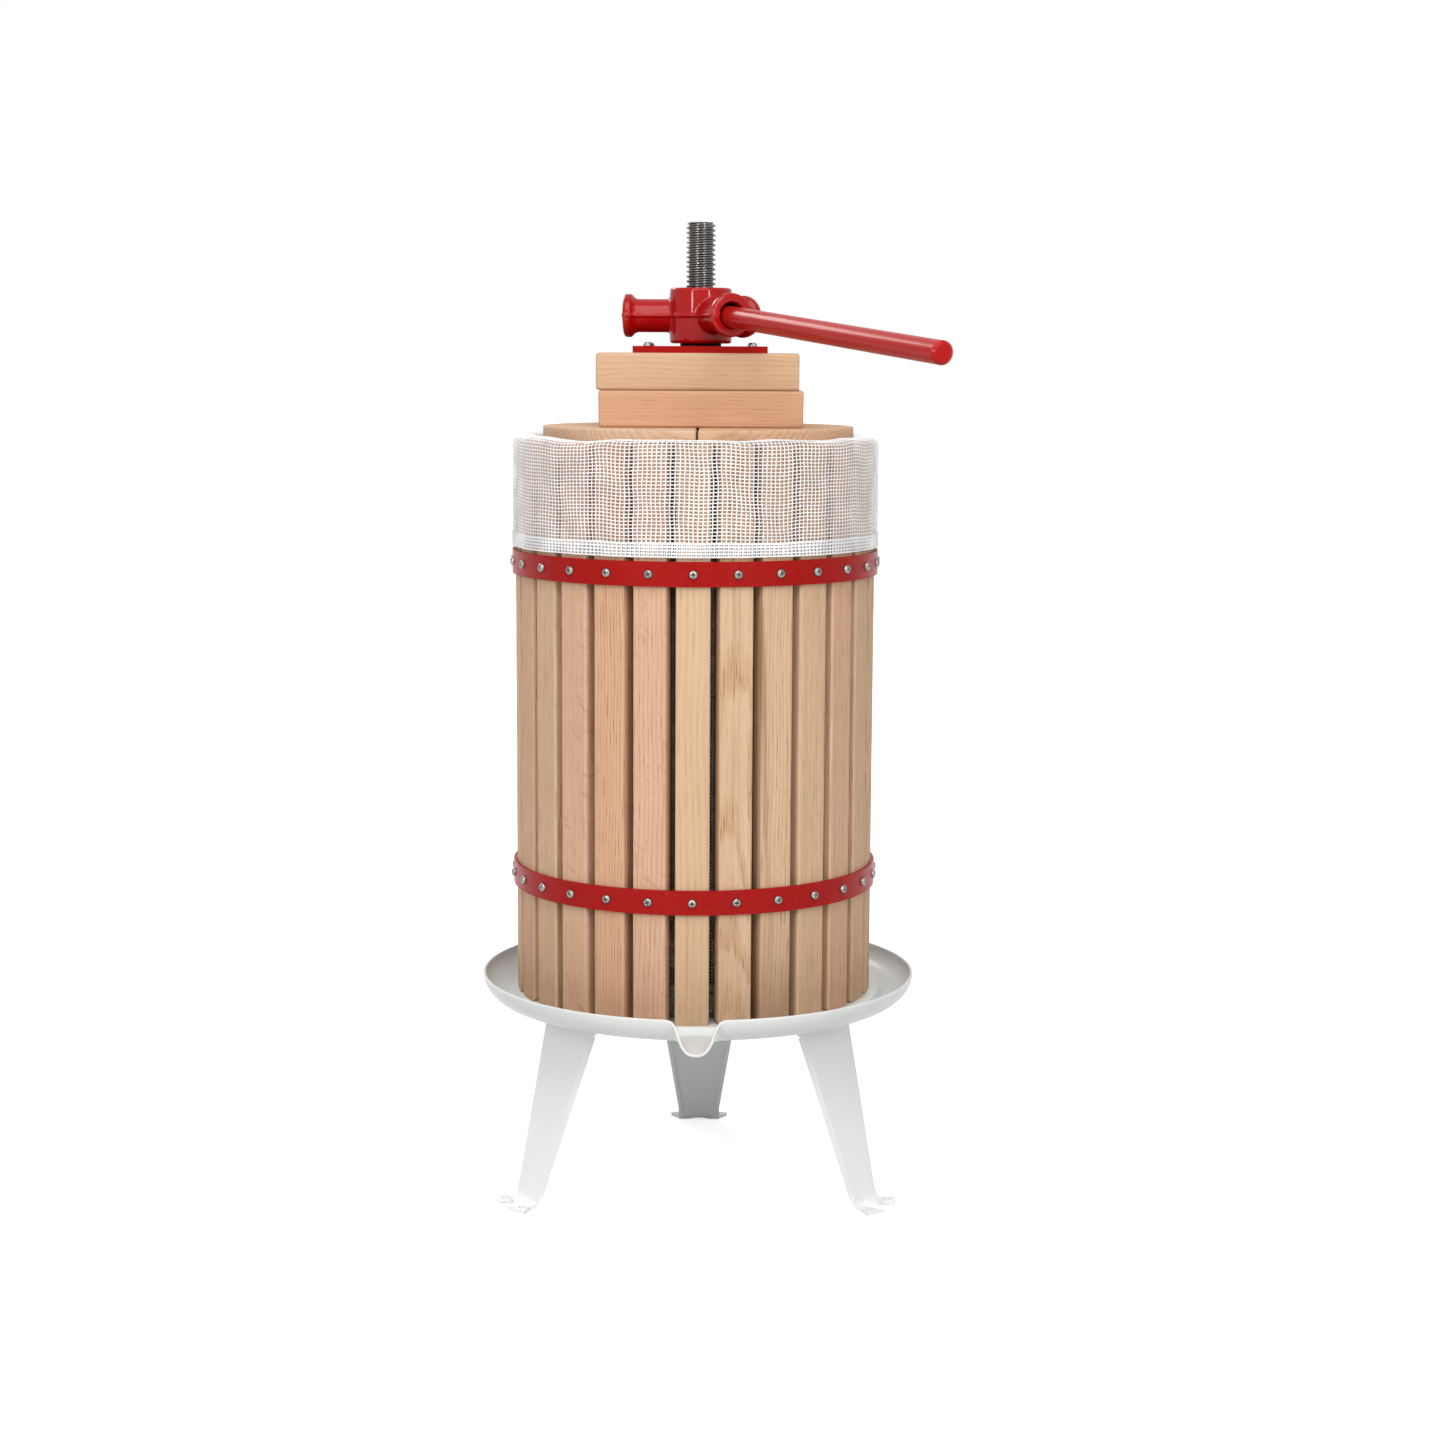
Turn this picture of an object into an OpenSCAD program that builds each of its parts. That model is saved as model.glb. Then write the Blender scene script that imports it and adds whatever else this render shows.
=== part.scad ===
// Hand fruit press: a slatted oak basket on a three legged tray, with a fixed
// central spindle and a cast nut that is turned with a bar to drive the press
// boards down. Millimetres, +Z up. The origin is on the spindle's axis at the
// height of the floor, the pouring spout faces -Y and +X is to its right.

/* [Stand] */
// Height of the tray's underside above the floor
stand_h = 147; // [120:1:180]
// Radius of the legs' outer face where it meets the floor
leg_foot_r = 151; // [138:1:160]
// Lean of each leg from the vertical, in degrees
leg_splay = 15.6; // [8:0.1:16]
// Width of a leg at its foot
leg_foot_w = 34; // [28:1:44]
// Width of a leg below its shoulder
leg_top_w = 72; // [60:1:84]
// How much wider than the leg its shoulder is
leg_shoulder = 8; // [4:1:14]
// Height above the floor where the leg starts to widen
leg_taper_z = 14; // [12:1:40]
// Thickness of the legs' sheet steel
leg_sheet = 3; // [2:0.25:4]
// Depth of the turned edges down both sides of a leg
leg_lip = 5; // [3.5:0.5:12]
// Length of the flange that is bolted under the tray
leg_flange = 32; // [26:1:40]
// Width across both ears of a foot
foot_w = 47; // [42:1:56]
// How far the ears of a foot reach out past the leg
foot_reach = 18; // [15:0.5:26]
// Radius of the bend between a leg's face and its foot
foot_bend_r = 6; // [3:0.5:8]
// Radius of the round cut between the ears
foot_cut_r = 8; // [5:0.5:9]
// Width of the pressed arch under each foot, at the floor
foot_notch_w = 20; // [12:1:22]
// Height of that arch
foot_notch_h = 2.5; // [1.5:0.5:8]
// Diameter of the screw hole in each ear
foot_hole_d = 6.5; // [4:0.5:8]
// Distance of each screw hole from the middle of its foot
foot_hole_y = 14.5; // [13:0.25:17]

/* [Tray] */
// Outer radius of the tray at its rim
tray_rim_r = 167; // [163:1:190]
// Height of the rim above the tray's underside
tray_depth = 19; // [15:0.5:30]
// Radial run of the curved wall
tray_wall_run = 24; // [19:0.5:24]
// Thickness of the tray's sheet steel
tray_sheet = 2; // [1.5:0.25:3]
// Height of the basket's platform above the gutter
platform_rise = 6; // [3:0.5:8]
// Width of the platform outside the staves
platform_margin = 2.5; // [1:0.5:4]
// Inside width of the spout where it leaves the gutter
spout_w = 31; // [24:1:40]
// Inside width of the spout at its lip
spout_tip_w = 22; // [16:1:24]
// How far the spout's lip reaches past the rim
spout_reach = 21; // [14:1:30]
// Fall of the spout's floor from the gutter to the lip
spout_fall = 2; // [1:0.5:5]

/* [Basket] */
// Number of staves
stave_count = 27; // [20:1:29]
// Width of a stave
stave_w = 25; // [18:0.5:26]
// Thickness of a stave
stave_t = 15; // [11:0.5:16]
// Length of a stave
stave_len = 423; // [380:1:460]
// How far the basket stands to the left of the spindle
basket_set = 3.5; // [0:0.1:3.7]
// Distance from the basket's axis to the staves' outer faces
basket_r = 136.4; // [134:0.1:138]
// Radius of the staves' long edges
stave_edge_r = 2; // [1:0.25:3]
// Radius of the corners at the staves' ends
stave_corner_r = 3; // [1:0.5:5]
// Width of a hoop
hoop_w = 18; // [14:0.5:26]
// Thickness of a hoop's strap
hoop_t = 2.5; // [1.5:0.25:4]
// Distance from each end of the staves to the middle of the nearer hoop
hoop_inset = 92; // [92:1:130]
// Diameter of the hoop screws' heads
hoop_head_d = 7; // [5:0.25:9]
// Height of the hoop screws' domed heads
hoop_head_h = 2.4; // [1.5:0.1:3.5]
// Diameter of the hoop screws' shanks
hoop_shank_d = 3.5; // [2.5:0.25:4]
// Length of the hoop screws under the head
hoop_screw_len = 14; // [10:0.5:15]

/* [Bag] */
// Thickness that the net bag takes up
bag_t = 0.8; // [0.5:0.1:1.5]
// Length of the bag that hangs outside the basket
bag_skirt = 80; // [40:1:81]
// Space between the staves and the hanging skirt
bag_skirt_gap = 1.5; // [0.5:0.25:2]
// Radius of the opening in the bag's floor round the spindle's foot
bag_hole_r = 36; // [34:1:60]
// Height of the bag's floor above the tray's platform
bag_floor_h = 5; // [4:0.5:10]

/* [Spindle] */
// Outside diameter of the spindle's thread
spindle_d = 22; // [18:0.5:24]
// Length of the spindle above the tray's platform
spindle_len = 585; // [580:1:640]
// Pitch of the thread
thread_pitch = 3.6; // [3:0.1:5]
// Depth of the thread
thread_depth = 1.9; // [1:0.1:2.2]
// Threaded length, from the spindle's top end
thread_len = 190; // [150:1:300]
// Diameter of the stud that goes down through the tray
stud_d = 16; // [12:0.5:16]
// Diameter of the round flange at the spindle's foot
foot_flange_d = 60; // [44:1:64]
// Height of that flange
foot_flange_h = 8; // [5:0.5:12]
// Diameter of the washer under the tray
washer_d = 46; // [40:1:60]
// Thickness of that washer
washer_t = 3; // [2:0.25:5]
// Width across the flats of the nut under the tray
stud_nut_af = 24; // [22:1:30]
// Height of that nut
stud_nut_h = 13; // [9:0.5:18]

/* [Press head] */
// Height of the press boards' underside above the platform, as stored
head_h = 413; // [412:1:416]
// Thickness of the two half-round press boards
disc_t = 20; // [16:0.5:26]
// Least space between the press boards and the bag
disc_gap = 0.5; // [0.3:0.1:3]
// How far the press boards lie to the left of the spindle
disc_set = 1.5; // [0:0.1:1.7]
// Gap between the two half-round boards
disc_seam = 1.2; // [0.3:0.1:2]
// Space between the wooden pieces and the spindle
spindle_gap = 2; // [1:0.25:4]
// Length of an upper press block
block_l = 150; // [140:1:160]
// Length of a lower press block
lower_block_l = 151.5; // [140:0.5:160]
// Width of a press block
block_w = 45; // [42:1:54]
// Height of a press block
block_h = 27.4; // [22:0.2:30]
// Radius of the blocks' long edges
block_edge_r = 1.5; // [0.5:0.25:3]
// How far the upper pair of blocks lies to the left of the spindle
block_shift = 1.7; // [0:0.1:4]
// How far the lower pair of blocks lies to the right of the spindle
lower_block_shift = 0.8; // [0:0.1:4]
// Side of the square pressure plate
plate_w = 100; // [94:1:110]
// Thickness of the pressure plate
plate_t = 5; // [3:0.25:7]
// Distance from the plate's middle lines to its screws
plate_screw_at = 39; // [36:0.5:42]
// Diameter of the plate screws' heads
plate_head_d = 6.5; // [6:0.5:11]
// Height of the plate screws' heads
plate_head_h = 2.8; // [2:0.1:3.5]
// Diameter of the plate screws' shanks
plate_shank_d = 4.5; // [3.5:0.25:6]
// Length of the plate screws under the head
plate_screw_len = 25; // [18:1:28]
// Diameter of the thrust collar between plate and nut
collar_d = 31; // [29:0.5:36]
// Height of the thrust collar
collar_h = 2; // [1:0.25:4]

/* [Drive nut] */
// Diameter of the hub at its two ends
hub_d = 46.5; // [42:0.5:52]
// Height of the hub
hub_h = 41.5; // [38:0.5:46]
// How much the hub swells to its mould line, on the radius
hub_draft = 1; // [0:0.1:1.5]
// How far the nut stands turned, in degrees, seen from above
nut_set = -6; // [-30:1:30]
// Distance from the axis to the mouth of each handle socket
socket_reach = 58; // [56:0.1:66]
// Diameter of the socket's tube
socket_tube_d = 25; // [23:0.5:27]
// Diameter of the flange round the socket's mouth
socket_flange_d = 32.5; // [30:0.5:35]
// Width of that flange
socket_flange_w = 6.5; // [6:0.5:11]
// Diameter of the socket's bore
socket_d = 19.1; // [19:0.1:21]
// Depth of the socket's bore
socket_depth = 39.7; // [34:0.1:42]
// Height that the mould line stands proud
mould_line = 0.6; // [0.3:0.1:1]

/* [Handle] */
// Diameter of the handle bar
handle_d = 15.75; // [14:0.25:17]
// Length of the handle bar
handle_len = 360; // [240:1:400]
// Wall of the handle bar's tube
handle_wall = 2.5; // [1.5:0.25:4]
// Diameter of the small drain hole near the bar's end
drain_hole_d = 2.4; // [1:0.1:4]
// Distance of the drain hole from the bar's end
drain_hole_at = 9; // [7.5:0.5:14]
// Depth that the end plug goes into the tube
plug_depth = 6; // [3:0.5:6]
// Thickness of the end plug's cap
plug_cap = 2.5; // [1.5:0.25:4]

/* [Clearances] */
// Space round a fastener in its hole, on the radius
bolt_play = 0.2; // [0.1:0.05:0.4]
// Space round the spindle in the nut, on the radius
thread_play = 0.3; // [0.2:0.05:0.6]
// Space between the handle bar and its socket where they bear
handle_play = 0.15; // [0.1:0.05:0.3]
// Space between the staves' feet and the tray's platform
stave_seat = 0.2; // [0.1:0.05:0.5]
// Space between the bag and the wood that it lies on
bag_play = 0.3; // [0.2:0.05:0.6]
// Space between the hoops and the staves' edges
hoop_play = 0.1; // [0.05:0.05:0.3]

/* [Hidden] */
$fn = 96;
function stave_name(i) = str("stave_", i < 10 ? "0" : "", i);
STAVES = [for (i = [1 : stave_count]) stave_name(i)];

// A cut that has to pass through a face runs this far past it
past = 1;
// Room for a cut that clears everything on one side
far = 400;

// Colours
tray_white = [0.90, 0.90, 0.89];
oak = [0.80, 0.64, 0.47];
pale_oak = [0.84, 0.70, 0.52];
enamel_red = [0.72, 0.11, 0.10];
dark_steel = [0.32, 0.31, 0.30];
zinc = [0.72, 0.72, 0.70];
net_white = [0.95, 0.95, 0.95];

// Tray heights and radii
gutter_z = stand_h + tray_sheet;
platform_z = gutter_z + platform_rise;
platform_under_z = platform_z - tray_sheet;
rim_z = stand_h + tray_depth;
gutter_r = tray_rim_r - tray_wall_run;
stud_hole_r = stud_d / 2 + bolt_play;

// Basket radii: the staves are flat, so their corners lie outside basket_r
stave_z = platform_z + stave_seat;
stave_top_z = stave_z + stave_len;
stave_in_r = basket_r - stave_t;
stave_edge_x = basket_r - stave_edge_r;
stave_edge_y = stave_w / 2 - stave_edge_r;
stave_out_r = norm([stave_edge_x, stave_edge_y]) + stave_edge_r;
platform_r = stave_out_r + platform_margin;
hoop_in_r = stave_out_r + hoop_play;
hoop_out_r = hoop_in_r + hoop_t;
lower_hoop_z = stave_z + hoop_inset;
upper_hoop_z = stave_top_z - hoop_inset;
stave_step = 360 / stave_count;
hoop_hole_r = hoop_shank_d / 2 + bolt_play;

// Bag radii and heights
bag_out_r = stave_in_r - bag_play;
bag_in_r = bag_out_r - bag_t;
skirt_in_r = stave_out_r + bag_skirt_gap;
skirt_out_r = skirt_in_r + bag_t;
fold_z = stave_top_z + bag_play;
bag_floor_z = platform_z + bag_floor_h;

// Legs
leg_azimuths = [210, 330, 90];
leg_top_z = platform_under_z;
leg_top_r = leg_foot_r - leg_top_z * tan(leg_splay);
leg_shoulder_z = stand_h - 13;
leg_shoulder_rise = 3;
leg_shoulder_w = leg_top_w + leg_shoulder;
foot_hole_r = leg_foot_r + foot_reach / 2;
ear_slant = 6.5;
ear_flat = 1;
bend_ease = 0.01;
rib_top = leg_sheet + foot_notch_h;
bend_z = leg_sheet + foot_bend_r;
bend_x = leg_foot_r + (foot_bend_r - bend_z * sin(leg_splay)) / cos(leg_splay);
notch_r = (pow(foot_notch_w / 2, 2) + pow(foot_notch_h, 2)) / (2 * foot_notch_h);
leg_bolt_d = 6;
leg_bolt_head_d = 12;
leg_bolt_head_h = 3.3;
leg_nut_af = 10;
leg_nut_h = 5;
leg_bolt_end = 2;
leg_bolt_y = leg_top_w / 4;
leg_bolt_r = leg_top_r - leg_flange / 2;
leg_bolt_hole_r = leg_bolt_d / 2 + bolt_play;

// Spindle
spindle_r = spindle_d / 2;
spindle_top_z = platform_z + spindle_len;
spindle_chamfer = 1;
thread_root_r = spindle_r - thread_depth;
thread_turns = floor(thread_len / thread_pitch);
thread_crest = 0.18;
thread_root = 0.30;
wood_bore_r = spindle_r + spindle_gap;
washer_z = platform_under_z - washer_t;
stud_nut_z = washer_z - stud_nut_h;
stud_end = 4;

// Press head, stacked on the half-round boards
disc_r = bag_in_r - disc_gap - abs(basket_set - disc_set);
disc_z = platform_z + head_h;
lower_block_z = disc_z + disc_t;
upper_block_z = lower_block_z + block_h;
plate_z = upper_block_z + block_h;
collar_z = plate_z + plate_t;
hub_z = collar_z + collar_h;
collar_bore_r = spindle_r + thread_play;
plate_hole_r = plate_shank_d / 2 + bolt_play;
plate_corner_r = 3;

// Drive nut and its three handle sockets
socket_azimuths = [for (a = [180, -60, 60]) a + nut_set];
handle_azimuth = socket_azimuths[1];
socket_z = hub_z + hub_h / 2;
socket_r = socket_d / 2;
hub_chamfer = 1.2;
socket_blend = 3.5;
socket_edge = 1.2;
mould_line_h = 1.4;

// The bar droops in its loose socket until it bears at the mouth and inside
handle_r = handle_d / 2;
handle_back_gap = 1.7;
handle_grip = socket_depth - handle_back_gap;
handle_slack = socket_r - handle_play - handle_r * 1.005;
handle_droop = atan(2 * handle_slack / handle_grip);
handle_chamfer = 1;

// A flat rectangle with round corners, centred
module rounded_rect(w, h, r) {
    square([w - 2 * r, h], center = true);
    square([w, h - 2 * r], center = true);
    for (sx = [-1, 1], sy = [-1, 1])
        translate([sx * (w / 2 - r), sy * (h / 2 - r)])
            circle(r);
}

// A hexagonal nut with its bore, standing on z = 0
module hex_nut(af, h, bore_r) {
    difference() {
        cylinder(h = h, r = af / 2 / cos(30), $fn = 6);
        translate([0, 0, -past])
            cylinder(h = h + 2 * past, r = bore_r);
    }
}

// A domed screw with a cross recess, its head's underside on z = 0
module domed_screw(head_d, head_h, shank_d, len) {
    ball_r = (pow(head_d / 2, 2) + pow(head_h, 2)) / (2 * head_h);
    slot_l = head_d * 0.5;
    slot_w = head_d * 0.13;
    slot_h = head_h * 0.5;
    difference() {
        intersection() {
            translate([0, 0, head_h - ball_r])
                sphere(r = ball_r);
            cylinder(h = head_h + past, r = head_d / 2);
        }
        for (a = [0, 90])
            rotate([0, 0, a])
                translate([-slot_l / 2, -slot_w / 2, head_h - slot_h])
                    cube([slot_l, slot_w, head_h]);
    }
    translate([0, 0, -len])
        cylinder(h = len, r = shank_d / 2);
}

// Tray: a pressed pan with a raised platform, a gutter and a pouring spout

// Points of the curved wall, from its foot to the rim, inset by the sheet
function wall_points(inset) = [
    for (a = [0 : 9 : 90])
        [
            gutter_r + (tray_wall_run - inset) * sin(a),
            stand_h + inset + (tray_depth - inset) * (1 - cos(a))
        ]
];

function reversed(points) = [for (i = [len(points) - 1 : -1 : 0]) points[i]];

module tray_profile() {
    rim_bead_r = tray_sheet * 0.6;
    step_in = tray_sheet * 0.6;
    polygon(concat(
        [[stud_hole_r, platform_under_z], [platform_r - step_in, platform_under_z]],
        [[gutter_r - step_in, stand_h]],
        wall_points(0),
        reversed(wall_points(tray_sheet)),
        [[platform_r, platform_z], [stud_hole_r, platform_z]]
    ));
    translate([tray_rim_r - tray_sheet / 2, rim_z])
        circle(rim_bead_r);
}

// The space inside the tray's wall, above its inner face
module tray_inside_profile() {
    polygon(concat(
        [[0, platform_z], [platform_r, platform_z]],
        wall_points(tray_sheet),
        [[tray_rim_r - tray_sheet, rim_z + far], [0, rim_z + far]]
    ));
}

// The spout's trough: a cone whose floor falls gently towards the lip
spout_start = gutter_r + 7;
spout_end = tray_rim_r + spout_reach;
spout_run = spout_end - spout_start;
spout_floor_z = gutter_z + 0.5;
spout_axis_z = spout_floor_z + spout_w / 2;
spout_tip_axis_z = spout_floor_z - spout_fall + spout_tip_w / 2;
spout_tilt = atan((spout_axis_z - spout_tip_axis_z) / spout_run);
spout_lip_angle = atan((rim_z - stand_h + spout_fall) / (spout_reach + 2));

module spout_cone(wall) {
    translate([0, -spout_start, spout_axis_z])
        rotate([90 + spout_tilt, 0, 0])
            cylinder(h = spout_run / cos(spout_tilt), r1 = spout_w / 2 + wall, r2 = spout_tip_w / 2 + wall);
}

// Everything under the slanted plane that trims the spout's lip
module under_lip() {
    translate([0, 2 - tray_rim_r, rim_z])
        rotate([spout_lip_angle, 0, 0])
            translate([-far / 2, -far / 2, -far])
                cube([far, far, far]);
}

module tray() {
    color(tray_white)
        difference() {
            union() {
                rotate_extrude()
                    tray_profile();
                difference() {
                    intersection() {
                        spout_cone(tray_sheet);
                        under_lip();
                    }
                    rotate_extrude()
                        tray_inside_profile();
                }
            }
            spout_cone(0);
            at_leg_bolts(platform_under_z - past)
                cylinder(h = tray_sheet + 2 * past, r = leg_bolt_hole_r);
        }
}

// Legs

module at_leg_bolts(z) {
    for (a = leg_azimuths, s = [-1, 1])
        rotate([0, 0, a])
            translate([leg_bolt_r, s * leg_bolt_y, z])
                children();
}

// Half width of a leg at a distance up its slope
function up_slope(z) = z / cos(leg_splay);
leg_half_outline = [
    [leg_foot_w / 2, -bend_z],
    [leg_foot_w / 2, up_slope(leg_taper_z)],
    [leg_top_w / 2, up_slope(leg_shoulder_z)],
    [leg_shoulder_w / 2, up_slope(leg_shoulder_z + leg_shoulder_rise)],
    [leg_shoulder_w / 2, up_slope(leg_top_z) + past]
];

function mirrored(points) = [for (p = reversed(points)) [-p[0], p[1]]];

// Stands a drawing of the leg's face on its slope, thick inwards from its outer face
module on_leg_slope(thick, out = 0) {
    translate([leg_foot_r, 0, 0])
        rotate([0, -leg_splay, 0])
            translate([out - thick, 0, 0])
                rotate([90, 0, 90])
                    linear_extrude(thick)
                        children();
}

module leg_lip_band() {
    foot = leg_half_outline[1];
    top = leg_half_outline[2];
    inner = [leg_sheet, 0];
    low = [leg_foot_w / 2, up_slope(bend_z)];
    polygon([low - inner, low, foot, top, top - inner, foot - inner]);
}

// The corner of the bend out to a distance from its centre, radius across and height up
module bend_corner(reach) {
    away = [cos(leg_splay), sin(leg_splay)];
    centre = [bend_x, bend_z];
    tip = [(1 - away[1]) / away[0], 1];
    polygon([centre, centre - reach * away, centre - reach * tip, centre - [0, reach]]);
}

module bend_round(r) {
    translate([bend_x, bend_z])
        circle(r + bend_ease);
}

// The bent sheet seen from its edge, radius across and height up
module leg_section() {
    outer = leg_foot_r + foot_reach;
    level = leg_sheet / cos(leg_splay);
    difference() {
        union() {
            polygon([
                [leg_foot_r - level, 0],
                [outer, 0],
                [outer, leg_sheet],
                [leg_foot_r - leg_sheet * tan(leg_splay), leg_sheet],
                [leg_top_r, leg_top_z],
                [leg_top_r - level, leg_top_z]
            ]);
            difference() {
                bend_corner(foot_bend_r + leg_sheet / 2);
                bend_round(foot_bend_r);
            }
        }
        difference() {
            bend_corner(2 * bend_z);
            bend_round(foot_bend_r + leg_sheet);
        }
    }
}

// Draws a section across the whole width of a leg
module across_leg() {
    rotate([90, 0, 0])
        linear_extrude(far, center = true)
            children();
}

module foot_plan() {
    outer = leg_foot_r + foot_reach;
    ear_root = leg_foot_w / 2;
    ear_tip = foot_cut_r + ear_flat;
    polygon([
        [bend_x - past, -ear_root],
        [bend_x, -ear_root],
        [outer - ear_slant, -foot_w / 2],
        [outer, -ear_tip],
        [outer, ear_tip],
        [outer - ear_slant, foot_w / 2],
        [bend_x, ear_root],
        [bend_x - past, ear_root]
    ]);
}

// A round bar along the radius of a leg, from its axis out
module foot_arch(r) {
    translate([leg_foot_r - far / 2, 0, foot_notch_h - notch_r])
        rotate([0, 90, 0])
            cylinder(h = far, r = r);
}

module leg_foot_rib() {
    outer = leg_foot_r + foot_reach;
    intersection() {
        foot_arch(notch_r + leg_sheet);
        across_leg() {
            translate([bend_x, bend_z])
                circle(foot_bend_r + leg_sheet);
            translate([bend_x, 0])
                square([outer - bend_x, bend_z]);
        }
        union() {
            linear_extrude(rib_top + past)
                foot_plan();
            translate([leg_foot_r - leg_sheet, -leg_foot_w / 2, 0])
                cube([bend_x - leg_foot_r + leg_sheet, leg_foot_w, rib_top + past]);
        }
    }
}

module leg_foot_cuts() {
    outer = leg_foot_r + foot_reach;
    foot_arch(notch_r);
    translate([outer, 0, -past])
        cylinder(h = rib_top + 3 * past, r = foot_cut_r);
    for (s = [-1, 1])
        translate([foot_hole_r, s * foot_hole_y, -past])
            cylinder(h = rib_top + 3 * past, r = foot_hole_d / 2);
}

module leg(azimuth) {
    color(tray_white)
        rotate([0, 0, azimuth])
            difference() {
                union() {
                    intersection() {
                        across_leg()
                            leg_section();
                        union() {
                            intersection() {
                                on_leg_slope(foot_bend_r + 2 * leg_sheet, foot_bend_r)
                                    polygon(concat(leg_half_outline, mirrored(leg_half_outline)));
                                translate([0, -far / 2, 0])
                                    cube([bend_x, far, leg_top_z]);
                            }
                            linear_extrude(leg_sheet)
                                foot_plan();
                        }
                    }
                    intersection() {
                        on_leg_slope(leg_lip) {
                            leg_lip_band();
                            mirror([1, 0])
                                leg_lip_band();
                        }
                        translate([0, -far / 2, 0])
                            cube([far, far, leg_top_z]);
                    }
                    leg_foot_rib();
                    translate([leg_top_r - leg_flange, -leg_top_w / 2, leg_top_z - leg_sheet])
                        cube([leg_flange - leg_sheet / 2, leg_top_w, leg_sheet]);
                }
                leg_foot_cuts();
                for (s = [-1, 1])
                    translate([leg_bolt_r, s * leg_bolt_y, leg_top_z - leg_sheet - past])
                        cylinder(h = leg_sheet + 2 * past, r = leg_bolt_hole_r);
            }
}

module leg_left() {
    leg(leg_azimuths[0]);
}

module leg_right() {
    leg(leg_azimuths[1]);
}

module leg_rear() {
    leg(leg_azimuths[2]);
}

module leg_bolts() {
    bolt_len = tray_sheet + leg_sheet + leg_nut_h + leg_bolt_end;
    color(zinc)
        at_leg_bolts(platform_z)
            domed_screw(leg_bolt_head_d, leg_bolt_head_h, leg_bolt_d, bolt_len);
}

module leg_nuts() {
    color(zinc)
        at_leg_bolts(leg_top_z - leg_sheet - leg_nut_h)
            hex_nut(leg_nut_af, leg_nut_h, leg_bolt_d / 2 + bolt_play);
}

// Spindle

// One thread groove's outline, going down from the height of its crest
function thread_groove(z) = [
    [spindle_r, z],
    [spindle_r, z - thread_crest * thread_pitch],
    [thread_root_r, z - thread_pitch * (1 - thread_root + thread_crest) / 2],
    [thread_root_r, z - thread_pitch * (1 + thread_root + thread_crest) / 2]
];

module spindle() {
    thread_top_z = spindle_top_z - spindle_chamfer;
    thread_end_z = thread_top_z - thread_turns * thread_pitch;
    grooves = [for (i = [0 : thread_turns - 1], p = thread_groove(thread_top_z - i * thread_pitch)) p];
    color(dark_steel)
        rotate_extrude()
            polygon(concat(
                [[0, spindle_top_z], [thread_root_r, spindle_top_z]],
                grooves,
                [[spindle_r, thread_end_z], [spindle_r, platform_z]],
                [[stud_d / 2, platform_z], [stud_d / 2, stud_nut_z - stud_end], [0, stud_nut_z - stud_end]]
            ));
}

module spindle_flange() {
    color(dark_steel)
        translate([0, 0, platform_z])
            difference() {
                cylinder(h = foot_flange_h, r = foot_flange_d / 2);
                translate([0, 0, -past])
                    cylinder(h = foot_flange_h + 2 * past, r = spindle_r + bolt_play);
            }
}

module spindle_washer() {
    color(zinc)
        translate([0, 0, washer_z])
            difference() {
                cylinder(h = washer_t, r = washer_d / 2);
                translate([0, 0, -past])
                    cylinder(h = washer_t + 2 * past, r = stud_hole_r);
            }
}

module spindle_nut() {
    color(zinc)
        translate([0, 0, stud_nut_z])
            hex_nut(stud_nut_af, stud_nut_h, stud_hole_r);
}

// Basket

// Moves a piece drawn round the spindle to the basket's own axis
module in_basket() {
    translate([-basket_set, 0, 0])
        children();
}

// Turns a piece drawn along +X to a stave's place, the first one facing the front
module at_stave(i) {
    rotate([0, 0, -90 + (i - 1) * stave_step])
        children();
}

// Places a screw drawn along +Z on the outside of a hoop
module on_hoop(r, z) {
    translate([r, 0, z])
        rotate([0, 90, 0])
            children();
}

module stave(i) {
    mid_r = basket_r - stave_t / 2;
    mid_z = stave_z + stave_len / 2;
    pilot_len = hoop_screw_len + past;
    color(i % 2 == 0 ? oak : pale_oak)
        in_basket()
            at_stave(i)
                difference() {
                    intersection() {
                        translate([mid_r, 0, stave_z])
                            linear_extrude(stave_len)
                                rounded_rect(stave_t, stave_w, stave_edge_r);
                        translate([mid_r - stave_t, 0, mid_z])
                            rotate([90, 0, 90])
                                linear_extrude(2 * stave_t)
                                    rounded_rect(stave_w, stave_len, stave_corner_r);
                    }
                    for (z = [lower_hoop_z, upper_hoop_z])
                        on_hoop(hoop_out_r - pilot_len, z)
                            cylinder(h = pilot_len, r = hoop_hole_r);
                }
}

module hoop(z) {
    color(enamel_red)
        in_basket()
            difference() {
                translate([0, 0, z - hoop_w / 2])
                    rotate_extrude()
                        translate([hoop_in_r, 0])
                            square([hoop_t, hoop_w]);
                for (i = [1 : stave_count])
                    at_stave(i)
                        on_hoop(hoop_in_r - past, z)
                            cylinder(h = hoop_t + 2 * past, r = hoop_hole_r);
            }
}

module hoop_screws(z) {
    color(zinc)
        for (i = [1 : stave_count])
            in_basket()
                at_stave(i)
                    on_hoop(hoop_out_r, z)
                        domed_screw(hoop_head_d, hoop_head_h, hoop_shank_d, hoop_screw_len);
}

module upper_hoop() {
    hoop(upper_hoop_z);
}

module lower_hoop() {
    hoop(lower_hoop_z);
}

module upper_hoop_screws() {
    hoop_screws(upper_hoop_z);
}

module lower_hoop_screws() {
    hoop_screws(lower_hoop_z);
}

// The net bag lines the basket, folds over its rim and hangs down outside
module press_bag() {
    color(net_white)
        in_basket()
            rotate_extrude()
                polygon([
                    [bag_hole_r, bag_floor_z],
                    [bag_out_r, bag_floor_z],
                    [bag_out_r, fold_z],
                    [skirt_in_r, fold_z],
                    [skirt_in_r, stave_top_z - bag_skirt],
                    [skirt_out_r, stave_top_z - bag_skirt],
                    [skirt_out_r, fold_z + bag_t],
                    [bag_in_r, fold_z + bag_t],
                    [bag_in_r, bag_floor_z + bag_t],
                    [bag_hole_r, bag_floor_z + bag_t]
                ]);
}

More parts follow.
